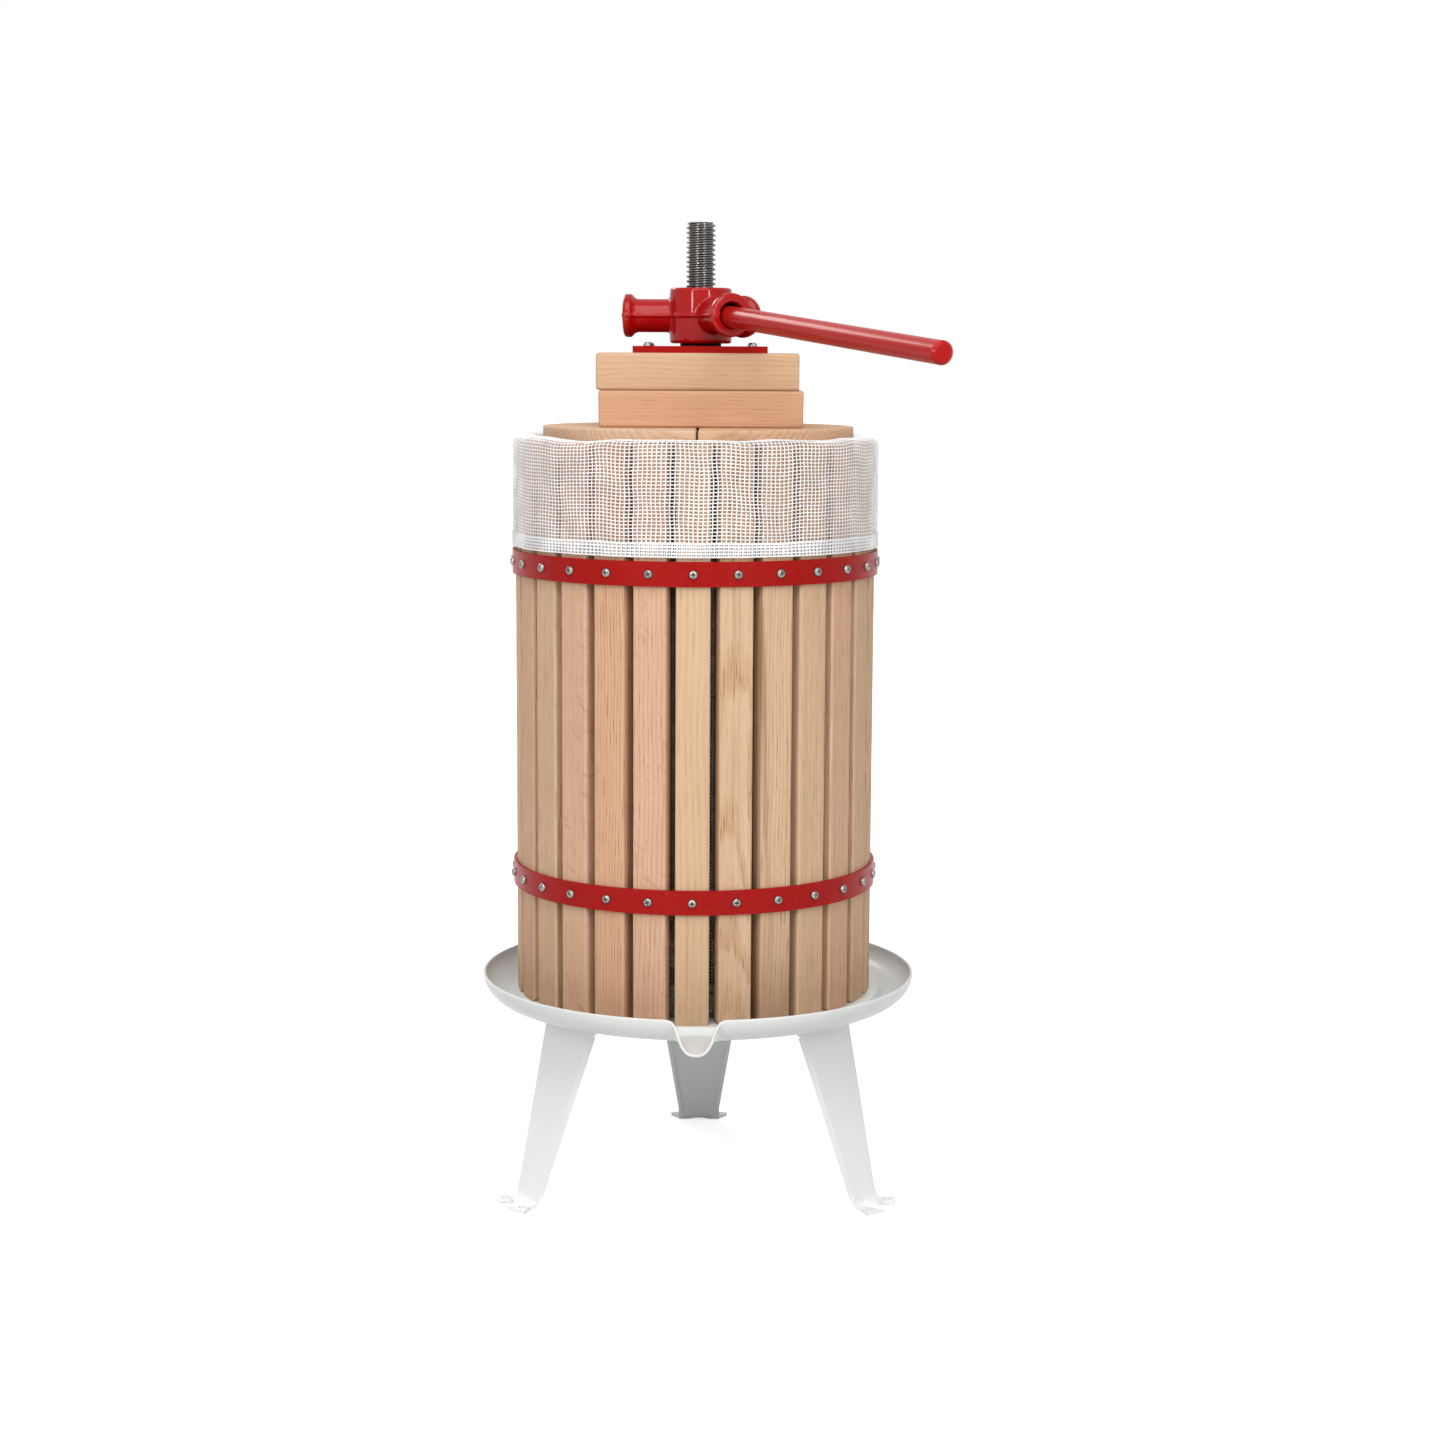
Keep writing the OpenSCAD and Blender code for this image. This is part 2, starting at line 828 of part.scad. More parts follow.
// Press head

// One half-round board; side is -1 for the left one and 1 for the right one
module half_disc(side) {
    color(oak)
        translate([-disc_set, 0, disc_z])
            difference() {
                intersection() {
                    cylinder(h = disc_t, r = disc_r);
                    translate([side > 0 ? disc_seam / 2 : -far - disc_seam / 2, -far / 2, -past])
                        cube([far, far, disc_t + 2 * past]);
                }
                translate([0, 0, -past])
                    cylinder(h = disc_t + 2 * past, r = wood_bore_r);
            }
}

module left_half_disc() {
    half_disc(-1);
}

module right_half_disc() {
    half_disc(1);
}

// A block in front of the spindle (side -1) or behind it (side 1)
module block(side, shift, z, l) {
    translate([shift, side * (wood_bore_r + block_w / 2), z + block_h / 2])
        rotate([90, 0, 90])
            translate([0, 0, -l / 2])
                linear_extrude(l)
                    rounded_rect(block_w, block_h, block_edge_r);
}

module upper_block(side) {
    color(pale_oak)
        difference() {
            block(side, -block_shift, upper_block_z, block_l);
            at_plate_screws(plate_z + plate_t - plate_screw_len - past)
                cylinder(h = plate_screw_len, r = plate_hole_r);
        }
}

module lower_block_front() {
    color(oak)
        block(-1, lower_block_shift, lower_block_z, lower_block_l);
}

module lower_block_rear() {
    color(oak)
        block(1, lower_block_shift, lower_block_z, lower_block_l);
}

module upper_block_front() {
    upper_block(-1);
}

module upper_block_rear() {
    upper_block(1);
}

module at_plate_screws(z) {
    for (sx = [-1, 1], sy = [-1, 1])
        translate([sx * plate_screw_at, sy * plate_screw_at, z])
            children();
}

module pressure_plate() {
    color(enamel_red)
        translate([0, 0, plate_z])
            linear_extrude(plate_t)
                difference() {
                    rounded_rect(plate_w, plate_w, plate_corner_r);
                    circle(wood_bore_r);
                    for (sx = [-1, 1], sy = [-1, 1])
                        translate([sx * plate_screw_at, sy * plate_screw_at])
                            circle(plate_hole_r);
                }
}

module plate_screws() {
    color(zinc)
        at_plate_screws(plate_z + plate_t)
            domed_screw(plate_head_d, plate_head_h, plate_shank_d, plate_screw_len);
}

module thrust_collar() {
    color(dark_steel)
        translate([0, 0, collar_z])
            difference() {
                cylinder(h = collar_h, r = collar_d / 2);
                translate([0, 0, -past])
                    cylinder(h = collar_h + 2 * past, r = collar_bore_r);
            }
}

// Drive nut

// Turns a piece drawn along +Z to point out along a socket
module at_socket(azimuth) {
    translate([0, 0, socket_z])
        rotate([0, 0, azimuth])
            rotate([0, 90, 0])
                children();
}

module socket_profile() {
    tube_r = socket_tube_d / 2;
    flange_r = socket_flange_d / 2;
    flange_at = socket_reach - socket_flange_w;
    polygon([
        [0, 0],
        [tube_r, 0],
        [tube_r, flange_at - socket_blend],
        [tube_r + socket_blend * 0.25, flange_at - socket_blend * 0.4],
        [flange_r - socket_edge, flange_at],
        [flange_r, flange_at + socket_edge],
        [flange_r, socket_reach - socket_edge],
        [flange_r - socket_edge, socket_reach],
        [0, socket_reach]
    ]);
}

module hub_profile() {
    end_r = hub_d / 2;
    polygon([
        [0, 0],
        [end_r - hub_chamfer, 0],
        [end_r, hub_chamfer],
        [end_r + hub_draft, hub_h / 2],
        [end_r, hub_h - hub_chamfer],
        [end_r - hub_chamfer, hub_h],
        [0, hub_h]
    ]);
}

module drive_nut() {
    ridge_w = socket_tube_d + 2 * mould_line;
    ridge_l = socket_reach - socket_flange_w;
    color(enamel_red)
        difference() {
            union() {
                translate([0, 0, hub_z])
                    rotate_extrude()
                        hub_profile();
                translate([0, 0, socket_z - mould_line_h / 2])
                    cylinder(h = mould_line_h, r = hub_d / 2 + hub_draft + mould_line);
                for (a = socket_azimuths) {
                    at_socket(a)
                        rotate_extrude()
                            socket_profile();
                    at_socket(a)
                        translate([-mould_line_h / 2, -ridge_w / 2, 0])
                            cube([mould_line_h, ridge_w, ridge_l]);
                }
            }
            translate([0, 0, hub_z - past])
                cylinder(h = hub_h + 2 * past, r = spindle_r + thread_play);
            for (a = socket_azimuths)
                at_socket(a)
                    translate([0, 0, socket_reach - socket_depth])
                        cylinder(h = socket_depth + past, r = socket_r);
        }
}

// Handle

// Puts a piece drawn along +Z into the front right socket, drooping, its foot inside
module in_socket() {
    foot_x = socket_reach - handle_grip;
    translate([0, 0, socket_z])
        rotate([0, 0, handle_azimuth])
            translate([foot_x, 0, handle_slack])
                rotate([0, 90 + handle_droop, 0])
                    children();
}

module handle_bar() {
    bore_r = handle_r - handle_wall;
    color(enamel_red)
        in_socket()
            difference() {
                rotate_extrude()
                    polygon([
                        [bore_r, 0],
                        [handle_r - handle_chamfer, 0],
                        [handle_r, handle_chamfer],
                        [handle_r, handle_len],
                        [bore_r, handle_len]
                    ]);
                translate([0, 0, handle_len - drain_hole_at])
                    rotate([0, 90, 0])
                        cylinder(h = handle_d, r = drain_hole_d / 2);
            }
}

module handle_end_plug() {
    plug_r = handle_r - handle_wall - bolt_play / 4;
    cap_edge = plug_cap * 0.8;
    color(enamel_red)
        in_socket()
            translate([0, 0, handle_len])
                rotate_extrude()
                    polygon([
                        [0, -plug_depth],
                        [plug_r, -plug_depth],
                        [plug_r, 0],
                        [handle_r, 0],
                        [handle_r, plug_cap - cap_edge],
                        [handle_r - cap_edge, plug_cap],
                        [0, plug_cap]
                    ]);
}

tray();
leg_left();
leg_right();
leg_rear();
leg_bolts();
leg_nuts();
spindle();
spindle_flange();
spindle_washer();
spindle_nut();
for (i = [1 : stave_count])
    stave(i);
upper_hoop();
lower_hoop();
upper_hoop_screws();
lower_hoop_screws();
press_bag();
left_half_disc();
right_half_disc();
lower_block_front();
lower_block_rear();
upper_block_front();
upper_block_rear();
pressure_plate();
plate_screws();
thrust_collar();
drive_nut();
handle_bar();
handle_end_plug();
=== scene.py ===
"""Looks of a hand fruit press, built round its CAD frame. Metres, +Z up, the spout towards -Y."""
import math

import bpy
import numpy as np
from mathutils import Matrix, Vector


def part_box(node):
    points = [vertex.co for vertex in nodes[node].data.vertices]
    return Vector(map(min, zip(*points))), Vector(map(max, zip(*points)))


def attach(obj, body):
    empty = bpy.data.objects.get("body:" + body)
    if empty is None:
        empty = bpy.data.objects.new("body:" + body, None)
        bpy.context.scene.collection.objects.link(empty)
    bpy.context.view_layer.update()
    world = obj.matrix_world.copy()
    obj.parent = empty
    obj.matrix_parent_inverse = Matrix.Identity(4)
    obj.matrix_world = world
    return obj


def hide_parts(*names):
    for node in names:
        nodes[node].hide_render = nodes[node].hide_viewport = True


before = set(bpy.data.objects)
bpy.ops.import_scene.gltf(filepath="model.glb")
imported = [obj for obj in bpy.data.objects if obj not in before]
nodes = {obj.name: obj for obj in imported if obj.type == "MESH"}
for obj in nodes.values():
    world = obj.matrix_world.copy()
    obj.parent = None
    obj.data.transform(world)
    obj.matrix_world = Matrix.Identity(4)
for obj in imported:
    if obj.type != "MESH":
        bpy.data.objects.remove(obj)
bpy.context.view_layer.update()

MM = 0.001
TAU = 2 * math.pi
TINY = 1e-9

# Sizes read from the frame
STAVES = sorted(name for name in nodes if name.startswith("stave_"))
STAVE_LOW, STAVE_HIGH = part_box("stave_01")
STAVE_TOP_Z = STAVE_HIGH.z
PLATFORM_Z = STAVE_LOW.z
STAVE_OUT = -STAVE_LOW.y
STAVE_IN = -STAVE_HIGH.y
BAG_LOW, BAG_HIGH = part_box("press_bag")
TRAY_LOW, TRAY_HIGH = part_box("tray")
SPINDLE_LOW, SPINDLE_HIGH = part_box("spindle")
HOOP_LOW, HOOP_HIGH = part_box("upper_hoop")
BASKET_X = (HOOP_LOW.x + HOOP_HIGH.x) / 2
HOOP_OUT = HOOP_HIGH.x - BASKET_X


# Camera, at the photograph's angle; degrees, and millimetres of lens and sensor

CAMERA_PLACE = (0.0161, -2.0344, 0.6444)
CAMERA_PITCH = 7.892
CAMERA_ROLL = 0.30
CAMERA_LENS = 66.57
CAMERA_SENSOR = 36


def make_camera():
    data = bpy.data.cameras.new("camera")
    data.lens = CAMERA_LENS
    data.sensor_width = CAMERA_SENSOR
    camera = bpy.data.objects.new("camera", data)
    bpy.context.scene.collection.objects.link(camera)
    tilt = Matrix.Rotation(math.radians(90 - CAMERA_PITCH), 4, "X")
    roll = Matrix.Rotation(math.radians(CAMERA_ROLL), 4, "Z")
    camera.matrix_world = Matrix.Translation(CAMERA_PLACE) @ tilt @ roll
    bpy.context.scene.camera = camera


# Shader building

class Shader:
    """A material's node tree, with short calls to add nodes to it."""

    def __init__(self, name):
        self.material = bpy.data.materials.new(name)
        self.material.use_nodes = True
        self.tree = self.material.node_tree
        self.surface = self.tree.nodes["Principled BSDF"]

    def node(self, kind, inputs=None, **settings):
        made = self.tree.nodes.new(kind)
        for key, value in settings.items():
            setattr(made, key, value)
        for key, value in (inputs or {}).items():
            self.set(made.inputs[key], value)
        return made

    def set(self, socket, value):
        if isinstance(value, bpy.types.NodeSocket):
            self.tree.links.new(value, socket)
        else:
            socket.default_value = value

    def give(self, **values):
        """Sets the surface's own sockets; an underscore in a name stands for a space."""
        for key, value in values.items():
            self.set(self.surface.inputs[key.replace("_", " ")], value)

    def place(self):
        return self.node("ShaderNodeTexCoord").outputs["Object"]

    def math(self, kind, a, b=0.0):
        return self.node("ShaderNodeMath", {0: a, 1: b}, operation=kind).outputs[0]

    def times(self, a, b):
        return self.math("MULTIPLY", a, b)

    def scaled(self, vector, factors):
        inputs = {0: vector, 1: factors}
        return self.node("ShaderNodeVectorMath", inputs, operation="MULTIPLY").outputs[0]

    def split(self, vector):
        return self.node("ShaderNodeSeparateXYZ", {0: vector}).outputs[:3]

    def join(self, x, y, z):
        return self.node("ShaderNodeCombineXYZ", {0: x, 1: y, 2: z}).outputs[0]

    def noise(self, vector, scale=1.0, detail=2.0, rough=0.5):
        inputs = {"Vector": vector, "Scale": scale, "Detail": detail, "Roughness": rough}
        return self.node("ShaderNodeTexNoise", inputs).outputs["Fac"]

    def between(self, value, low, high, to_low=0.0, to_high=1.0):
        """The value's place between two levels, clamped, as a share of two others."""
        inputs = {"Value": value, "From Min": low, "From Max": high,
                  "To Min": to_low, "To Max": to_high}
        return self.node("ShaderNodeMapRange", inputs, clamp=True).outputs[0]

    def mix(self, share, a, b):
        made = self.node("ShaderNodeMix", data_type="RGBA")
        self.set(made.inputs[0], share)
        self.set(made.inputs[6], a)
        self.set(made.inputs[7], b)
        return made.outputs[2]

    def bump(self, height, strength, distance):
        inputs = {"Height": height, "Strength": strength, "Distance": distance}
        self.give(Normal=self.node("ShaderNodeBump", inputs).outputs[0])


def rgb(r, g, b):
    """A colour as seen on screen, 0 to 255, as the linear one that shaders take."""
    def linear(c):
        c /= 255
        return c / 12.92 if c <= 0.04045 else ((c + 0.055) / 1.055) ** 2.4
    return (linear(r), linear(g), linear(b), 1.0)


def tinted(colour, factors):
    """A colour with its red, green and blue scaled."""
    return tuple(c * factor for c, factor in zip(colour, factors)) + (1.0,)


def shade(colour, factor):
    return tinted(colour, (factor, factor, factor))


# Oak: noises by their scales per metre across and along the grain, then detail and roughness

DRIFT_NOISE = (9, 3.5)
WAVER_NOISE = (120, 9)
FIBRE_NOISE = (1100, 10, 3.0, 0.65)
STRAND_NOISE = (420, 5, 2.0, 0.6)
PORE_NOISE = (1500, 48, 1.0)
BLOTCH_NOISE = (20, 4)
FLECK_PATCH_NOISE = (30, 14)
FLECK_SCALES = (60, 90, 230)
FLECK_SLANT = 0.9
STREAK_NOISE = (110, 4.5)
DIRT_NOISE = (60, 12)
DIRT_RISE = 0.13
DIRT_SWAY = 0.05
PITH_DRIFT = 22 * MM
RING_WAVER = 0.9
GRAIN_DEPTH = 0.25 * MM

# Tones of oak as factors of its colour
LIGHT_OAK = (1.05, 1.08, 1.10)
DARK_OAK = (0.78, 0.69, 0.60)
PORE_OAK = (0.50, 0.40, 0.31)
FLECK_OAK = (0.84, 0.76, 0.70)


def oak(name, colour, turn=0.0, along="Z", pith=(0.03, 0.02), seed=0.0, ring=3.0 * MM, taper=0.0,
        flecks=0.0, streak=0.0, contrast=1.0, dirt=0.0):
    """Bare planed oak: growth rings round a pith, dark pores, fibre and slow drifts of tone.

    The grain runs along Z or X. On a stave, turn is the azimuth of the face, so that u is radial
    and v across it. A taper makes the rings drift along the grain, which draws pointed arches on
    a face that is cut along them.
    """
    s = Shader(name)
    place = s.place()
    if along == "Z":
        turned = {"Vector": place, "Rotation": (0, 0, -math.radians(turn))}
        u, v, level = s.split(s.node("ShaderNodeMapping", turned).outputs[0])
    else:
        level, v, u = s.split(place)
    w = s.math("ADD", level, seed)

    def stretched(across, length, detail=2.0, rough=0.5):
        grain = s.join(s.times(u, across), s.times(v, across), s.times(w, length))
        return s.noise(grain, 1.0, detail, rough)

    drift = s.math("SUBTRACT", stretched(*DRIFT_NOISE), 0.5)
    waver = s.math("SUBTRACT", stretched(*WAVER_NOISE), 0.5)
    across_u = s.math("ADD", s.math("SUBTRACT", u, pith[0]), s.times(drift, PITH_DRIFT))
    across_v = s.math("SUBTRACT", v, pith[1])
    squares = s.math("ADD", s.math("POWER", across_u, 2.0), s.math("POWER", across_v, 2.0))
    reach = s.math("ADD", s.math("SQRT", squares), s.times(w, taper))
    fibre = stretched(*FIBRE_NOISE)
    strand = stretched(*STRAND_NOISE)
    turns = s.math("ADD", s.math("DIVIDE", reach, ring), s.times(waver, RING_WAVER))
    phase = s.math("FRACT", turns)
    early = s.times(s.between(phase, 0.0, 0.12), s.between(phase, 0.12, 0.60, 1.0, 0.0))
    pores = s.between(stretched(*PORE_NOISE), 0.57, 0.68)
    pores = s.times(pores, s.between(early, 0.0, 0.8, 0.22, 1.0))
    blotch = stretched(*BLOTCH_NOISE)

    dark, pore = tinted(colour, DARK_OAK), tinted(colour, PORE_OAK)
    tone = s.mix(s.between(blotch, 0.32, 0.68), shade(colour, 0.98), tinted(colour, LIGHT_OAK))
    tone = s.mix(s.times(early, 0.55 * contrast), tone, dark)
    tone = s.mix(s.between(strand, 0.42, 0.75, 0.0, 0.38 * contrast), tone, dark)
    tone = s.mix(s.between(fibre, 0.40, 0.72, 0.0, 0.30), tone, shade(colour, 1.18))
    tone = s.mix(s.times(pores, 0.75 * contrast), tone, pore)
    if flecks:
        slant = s.math("ADD", w, s.times(v, FLECK_SLANT))
        fleck_place = s.join(*(s.times(a, scale) for a, scale in zip((u, v, slant), FLECK_SCALES)))
        fleck = s.between(s.noise(fleck_place), 0.55, 0.66)
        fleck = s.times(fleck, s.between(stretched(*FLECK_PATCH_NOISE), 0.42, 0.60, 0.0, flecks))
        tone = s.mix(fleck, tone, tinted(colour, FLECK_OAK))
    if streak:
        tone = s.mix(s.between(stretched(*STREAK_NOISE), 0.60, 0.74, 0.0, streak), tone, pore)
    if dirt:
        height = s.math("ADD", level, s.times(drift, DIRT_SWAY))
        foot = s.between(height, PLATFORM_Z, PLATFORM_Z + DIRT_RISE, 1.0, 0.0)
        cloud = s.between(stretched(*DIRT_NOISE), 0.3, 0.7, 0.6 * dirt, 1.3 * dirt)
        tone = s.mix(s.times(s.math("POWER", foot, 1.5), cloud), tone, shade(dark, 0.62))
    s.give(Base_Color=tone, Roughness=s.between(fibre, 0.3, 0.7, 0.58, 0.72))
    s.give(Specular_IOR_Level=0.15)
    s.bump(s.math("SUBTRACT", s.times(fibre, 0.4), pores), 0.4, GRAIN_DEPTH)
    return s.material


# Metals, enamel and net

SCUFF_GREY = (0.5, 0.5, 0.5, 1)
SPECK_BLACK = (0.03, 0.02, 0.02, 1)
COAT_ROUGHNESS = 0.08
CAST_COAT = 0.45
CAST_COAT_ROUGHNESS = 0.04
YARN_GLOW = (0.6 * MM, 0.6 * MM, 0.6 * MM)


def enamel(name, colour, roughness, peel, coat, shine, grime=0.10):
    """Sprayed enamel: a smooth coat with faint orange peel, slow tone drift and dull scuffs."""
    s = Shader(name)
    place = s.place()
    slow = s.noise(place, 14.0, 3.0)
    scuffs = s.noise(s.scaled(place, (160, 160, 420)), 1.0, 4.0, 0.7)
    rub = s.between(scuffs, 0.58, 0.76)
    tone = s.mix(s.between(slow, 0.35, 0.70, 0.0, grime), colour, shade(colour, 0.62))
    tone = s.mix(s.times(rub, 0.04), tone, SCUFF_GREY)
    s.give(Base_Color=tone, Roughness=s.between(rub, 0.0, 1.0, roughness, roughness + 0.14))
    s.give(Coat_Weight=coat, Coat_Roughness=COAT_ROUGHNESS, Specular_IOR_Level=shine)
    s.bump(s.noise(place, 620.0), peel, 0.12 * MM)
    return s.material


def cast_enamel(name, colour):
    """Glossy enamel over a sand casting: lumpy under the gloss, with dark bare specks at knocks."""
    s = Shader(name)
    place = s.place()
    lumps = s.noise(place, 240.0, 3.0, 0.55)
    slow = s.noise(place, 40.0)
    specks = s.between(s.noise(place, 420.0, 4.0, 0.7), 0.70, 0.74)
    tone = s.mix(s.between(slow, 0.3, 0.7, 0.0, 0.25), colour, shade(colour, 0.60))
    tone = s.mix(s.times(specks, 0.7), tone, SPECK_BLACK)
    s.give(Base_Color=tone, Roughness=s.between(slow, 0.3, 0.7, 0.25, 0.38))
    s.give(Specular_IOR_Level=0.02, Coat_Weight=CAST_COAT, Coat_Roughness=CAST_COAT_ROUGHNESS)
    s.bump(lumps, 0.16, 0.5 * MM)
    return s.material


def bare_steel(name, colour, roughness, scratch, tarnish):
    """Plated or oiled steel with fine scratches and duller patches."""
    s = Shader(name)
    place = s.place()
    patch = s.noise(place, 90.0, 3.0)
    lines = s.noise(s.scaled(place, (900, 900, 2600)))
    tone = s.mix(s.between(patch, 0.40, 0.72, 0.0, tarnish), colour, shade(colour, 0.45))
    s.give(Base_Color=tone, Metallic=1.0)
    s.give(Roughness=s.between(patch, 0.3, 0.7, roughness, roughness + 0.18))
    s.bump(lines, scratch, 0.05 * MM)
    return s.material


def net_yarn(name, light, dull):
    """Plastic yarn: faintly translucent, with a twisted sheen and slow drifts between two tones."""
    s = Shader(name)
    place = s.place()
    drift = s.noise(place, 60.0)
    twist = s.noise(s.scaled(place, (1500, 1500, 2400)))
    tone = s.mix(s.between(drift, 0.35, 0.65), light, dull)
    s.give(Base_Color=tone, Roughness=s.between(twist, 0.3, 0.7, 0.42, 0.62))
    s.give(Specular_IOR_Level=0.25)
    s.give(Subsurface_Weight=0.2, Subsurface_Radius=YARN_GLOW, Subsurface_Scale=1.0)
    s.bump(twist, 0.3, 0.1 * MM)
    return s.material


RED = rgb(150, 17, 13)
BAR_RED = rgb(164, 22, 18)
CAST_RED = rgb(160, 10, 8)
LEG_WHITE = rgb(230, 232, 230)
# The tray is the legs' white enamel painted darker: painted shade for its outer wall, which faces
# down
TRAY_SHADED_WHITE = rgb(208, 210, 208)
# Near-black steel for the thrust collar and the spindle's flange: painted shade for the shadowed
# gap under the hub
COLLAR_SHADOW_BLACK = (0.03, 0.015, 0.014, 1)
ZINC = (0.27, 0.265, 0.255, 1)
OILED_STEEL = (0.15, 0.145, 0.138, 1)
NET_TONES = (rgb(246, 246, 246), rgb(226, 227, 229))
# The lining is the same white yarn in darker tones: painted shade, so the gaps between the staves
# look dark
LINING_SHADE_TONES = (rgb(150, 136, 122), rgb(118, 104, 92))

# Enamel has roughness, peel, coat and shine; steel has roughness, scratch and tarnish
materials = {
    "red": enamel("red_enamel", RED, 0.32, 0.10, 0.02, 0.08),
    "bar": enamel("bar_enamel", BAR_RED, 0.30, 0.05, 0.11, 0.05),
    "casting": cast_enamel("red_casting", CAST_RED),
    "leg": enamel("leg_enamel", LEG_WHITE, 0.42, 0.16, 0.05, 0.3, grime=0.05),
    "tray": enamel("tray_enamel_shaded", TRAY_SHADED_WHITE, 0.38, 0.16, 0.10, 0.3, grime=0.05),
    "collar": bare_steel("dark_steel", COLLAR_SHADOW_BLACK, 0.55, 0.25, 0.6),
    "zinc": bare_steel("zinc_plate", ZINC, 0.22, 0.15, 0.45),
    "spindle": bare_steel("oiled_steel", OILED_STEEL, 0.20, 0.2, 0.5),
    "net": net_yarn("net_yarn", *NET_TONES),
    "shaded_lining": net_yarn("lining_yarn_painted_shade", *LINING_SHADE_TONES),
}


# Mesh building

def mesh_object(name, points, faces, material, smooth=True):
    """An object from an array of points and an array or list of faces."""
    mesh = bpy.data.meshes.new(name)
    mesh.from_pydata([tuple(p) for p in points], [], [tuple(f) for f in faces])
    mesh.validate()
    mesh.update()
    made = bpy.data.objects.new(name, mesh)
    bpy.context.scene.collection.objects.link(made)
    mesh.materials.append(material)
    if smooth:
        mesh.polygons.foreach_set("use_smooth", np.ones(len(mesh.polygons), dtype=bool))
    return made


def ring_faces(rows, columns):
    """Quads over rows of points that close on themselves."""
    r, c = np.meshgrid(np.arange(rows - 1), np.arange(columns), indexing="ij")
    right = (c + 1) % columns
    here, above = r * columns, (r + 1) * columns
    return np.stack([here + c, here + right, above + right, above + c], axis=-1).reshape(-1, 4)


def ride_as(piece, body, slot, *replaced):
    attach(piece, body)
    if replaced:
        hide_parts(*replaced)


def soften(piece, width, segments=2, angle=40):
    """Rounds the sharp edges of a piece or a CAD node."""
    bevel = piece.modifiers.new("soft_edges", "BEVEL")
    bevel.width = width
    bevel.segments = segments
    bevel.limit_method = "ANGLE"
    bevel.angle_limit = math.radians(angle)


def wear_round(piece, voxel, passes):
    """Wears all the edges of a piece or a CAD node round, its faces left flat."""
    skin = piece.modifiers.new("skin", "REMESH")
    skin.mode = "VOXEL"
    skin.voxel_size = voxel
    skin.use_smooth_shade = True
    rounding = piece.modifiers.new("rounding", "SMOOTH")
    rounding.factor = 0.5
    rounding.iterations = passes


def finish_node(name, material):
    """Gives a CAD node its material."""
    data = nodes[name].data
    data.materials.clear()
    data.materials.append(material)


# Tray: one pressed sheet with a platform, a gutter and a pouring spout

TRAY_SHEET = 2 * MM
TRAY_EDGE = 0.7 * MM
TRAY_EDGE_ANGLE = 60
TRAY_RIM_R = TRAY_HIGH.x
TRAY_RIM_Z = TRAY_HIGH.z
TRAY_WALL_RUN = 22 * MM
TRAY_WALL_STEPS = 12
GUTTER_Z = PLATFORM_Z - 6 * MM
GUTTER_R = TRAY_RIM_R - TRAY_SHEET - TRAY_WALL_RUN
PLATFORM_R = GUTTER_R - 3.5 * MM
PLATFORM_STOPS = (10 * MM, 60 * MM, 110 * MM, 130 * MM)
BEND_RUN = 2 * MM
BEND_SIDE = 1 * MM
BEND_STEPS = 4

# Spout: how much of it is left, by millimetres to its side
SPOUT_HALF = [0, 3.0, 6.0, 8.5, 10.5, 12.0, 13.5, 15.0, 17.0, 19.5, 23.0]
SPOUT_SHARE = [1, 0.99, 0.94, 0.84, 0.70, 0.52, 0.33, 0.18, 0.07, 0.015, 0]
SPOUT_TIP_R = -TRAY_LOW.y
SPOUT_FALL = 2.6 * MM
SPOUT_TAPER = 0.98
SPOUT_PINCH = 0.06
SPOUT_SPAN = 9
SPOUT_STEPS = 73
RIM_STEPS = 190


def bend(start, corner, end):
    """Points of a smooth curve that turns at a corner."""
    t = np.linspace(0, 1, BEND_STEPS)[:, None]
    start, corner, end = (np.array(p) for p in (start, corner, end))
    return (1 - t) ** 2 * start + 2 * t * (1 - t) * corner + t ** 2 * end


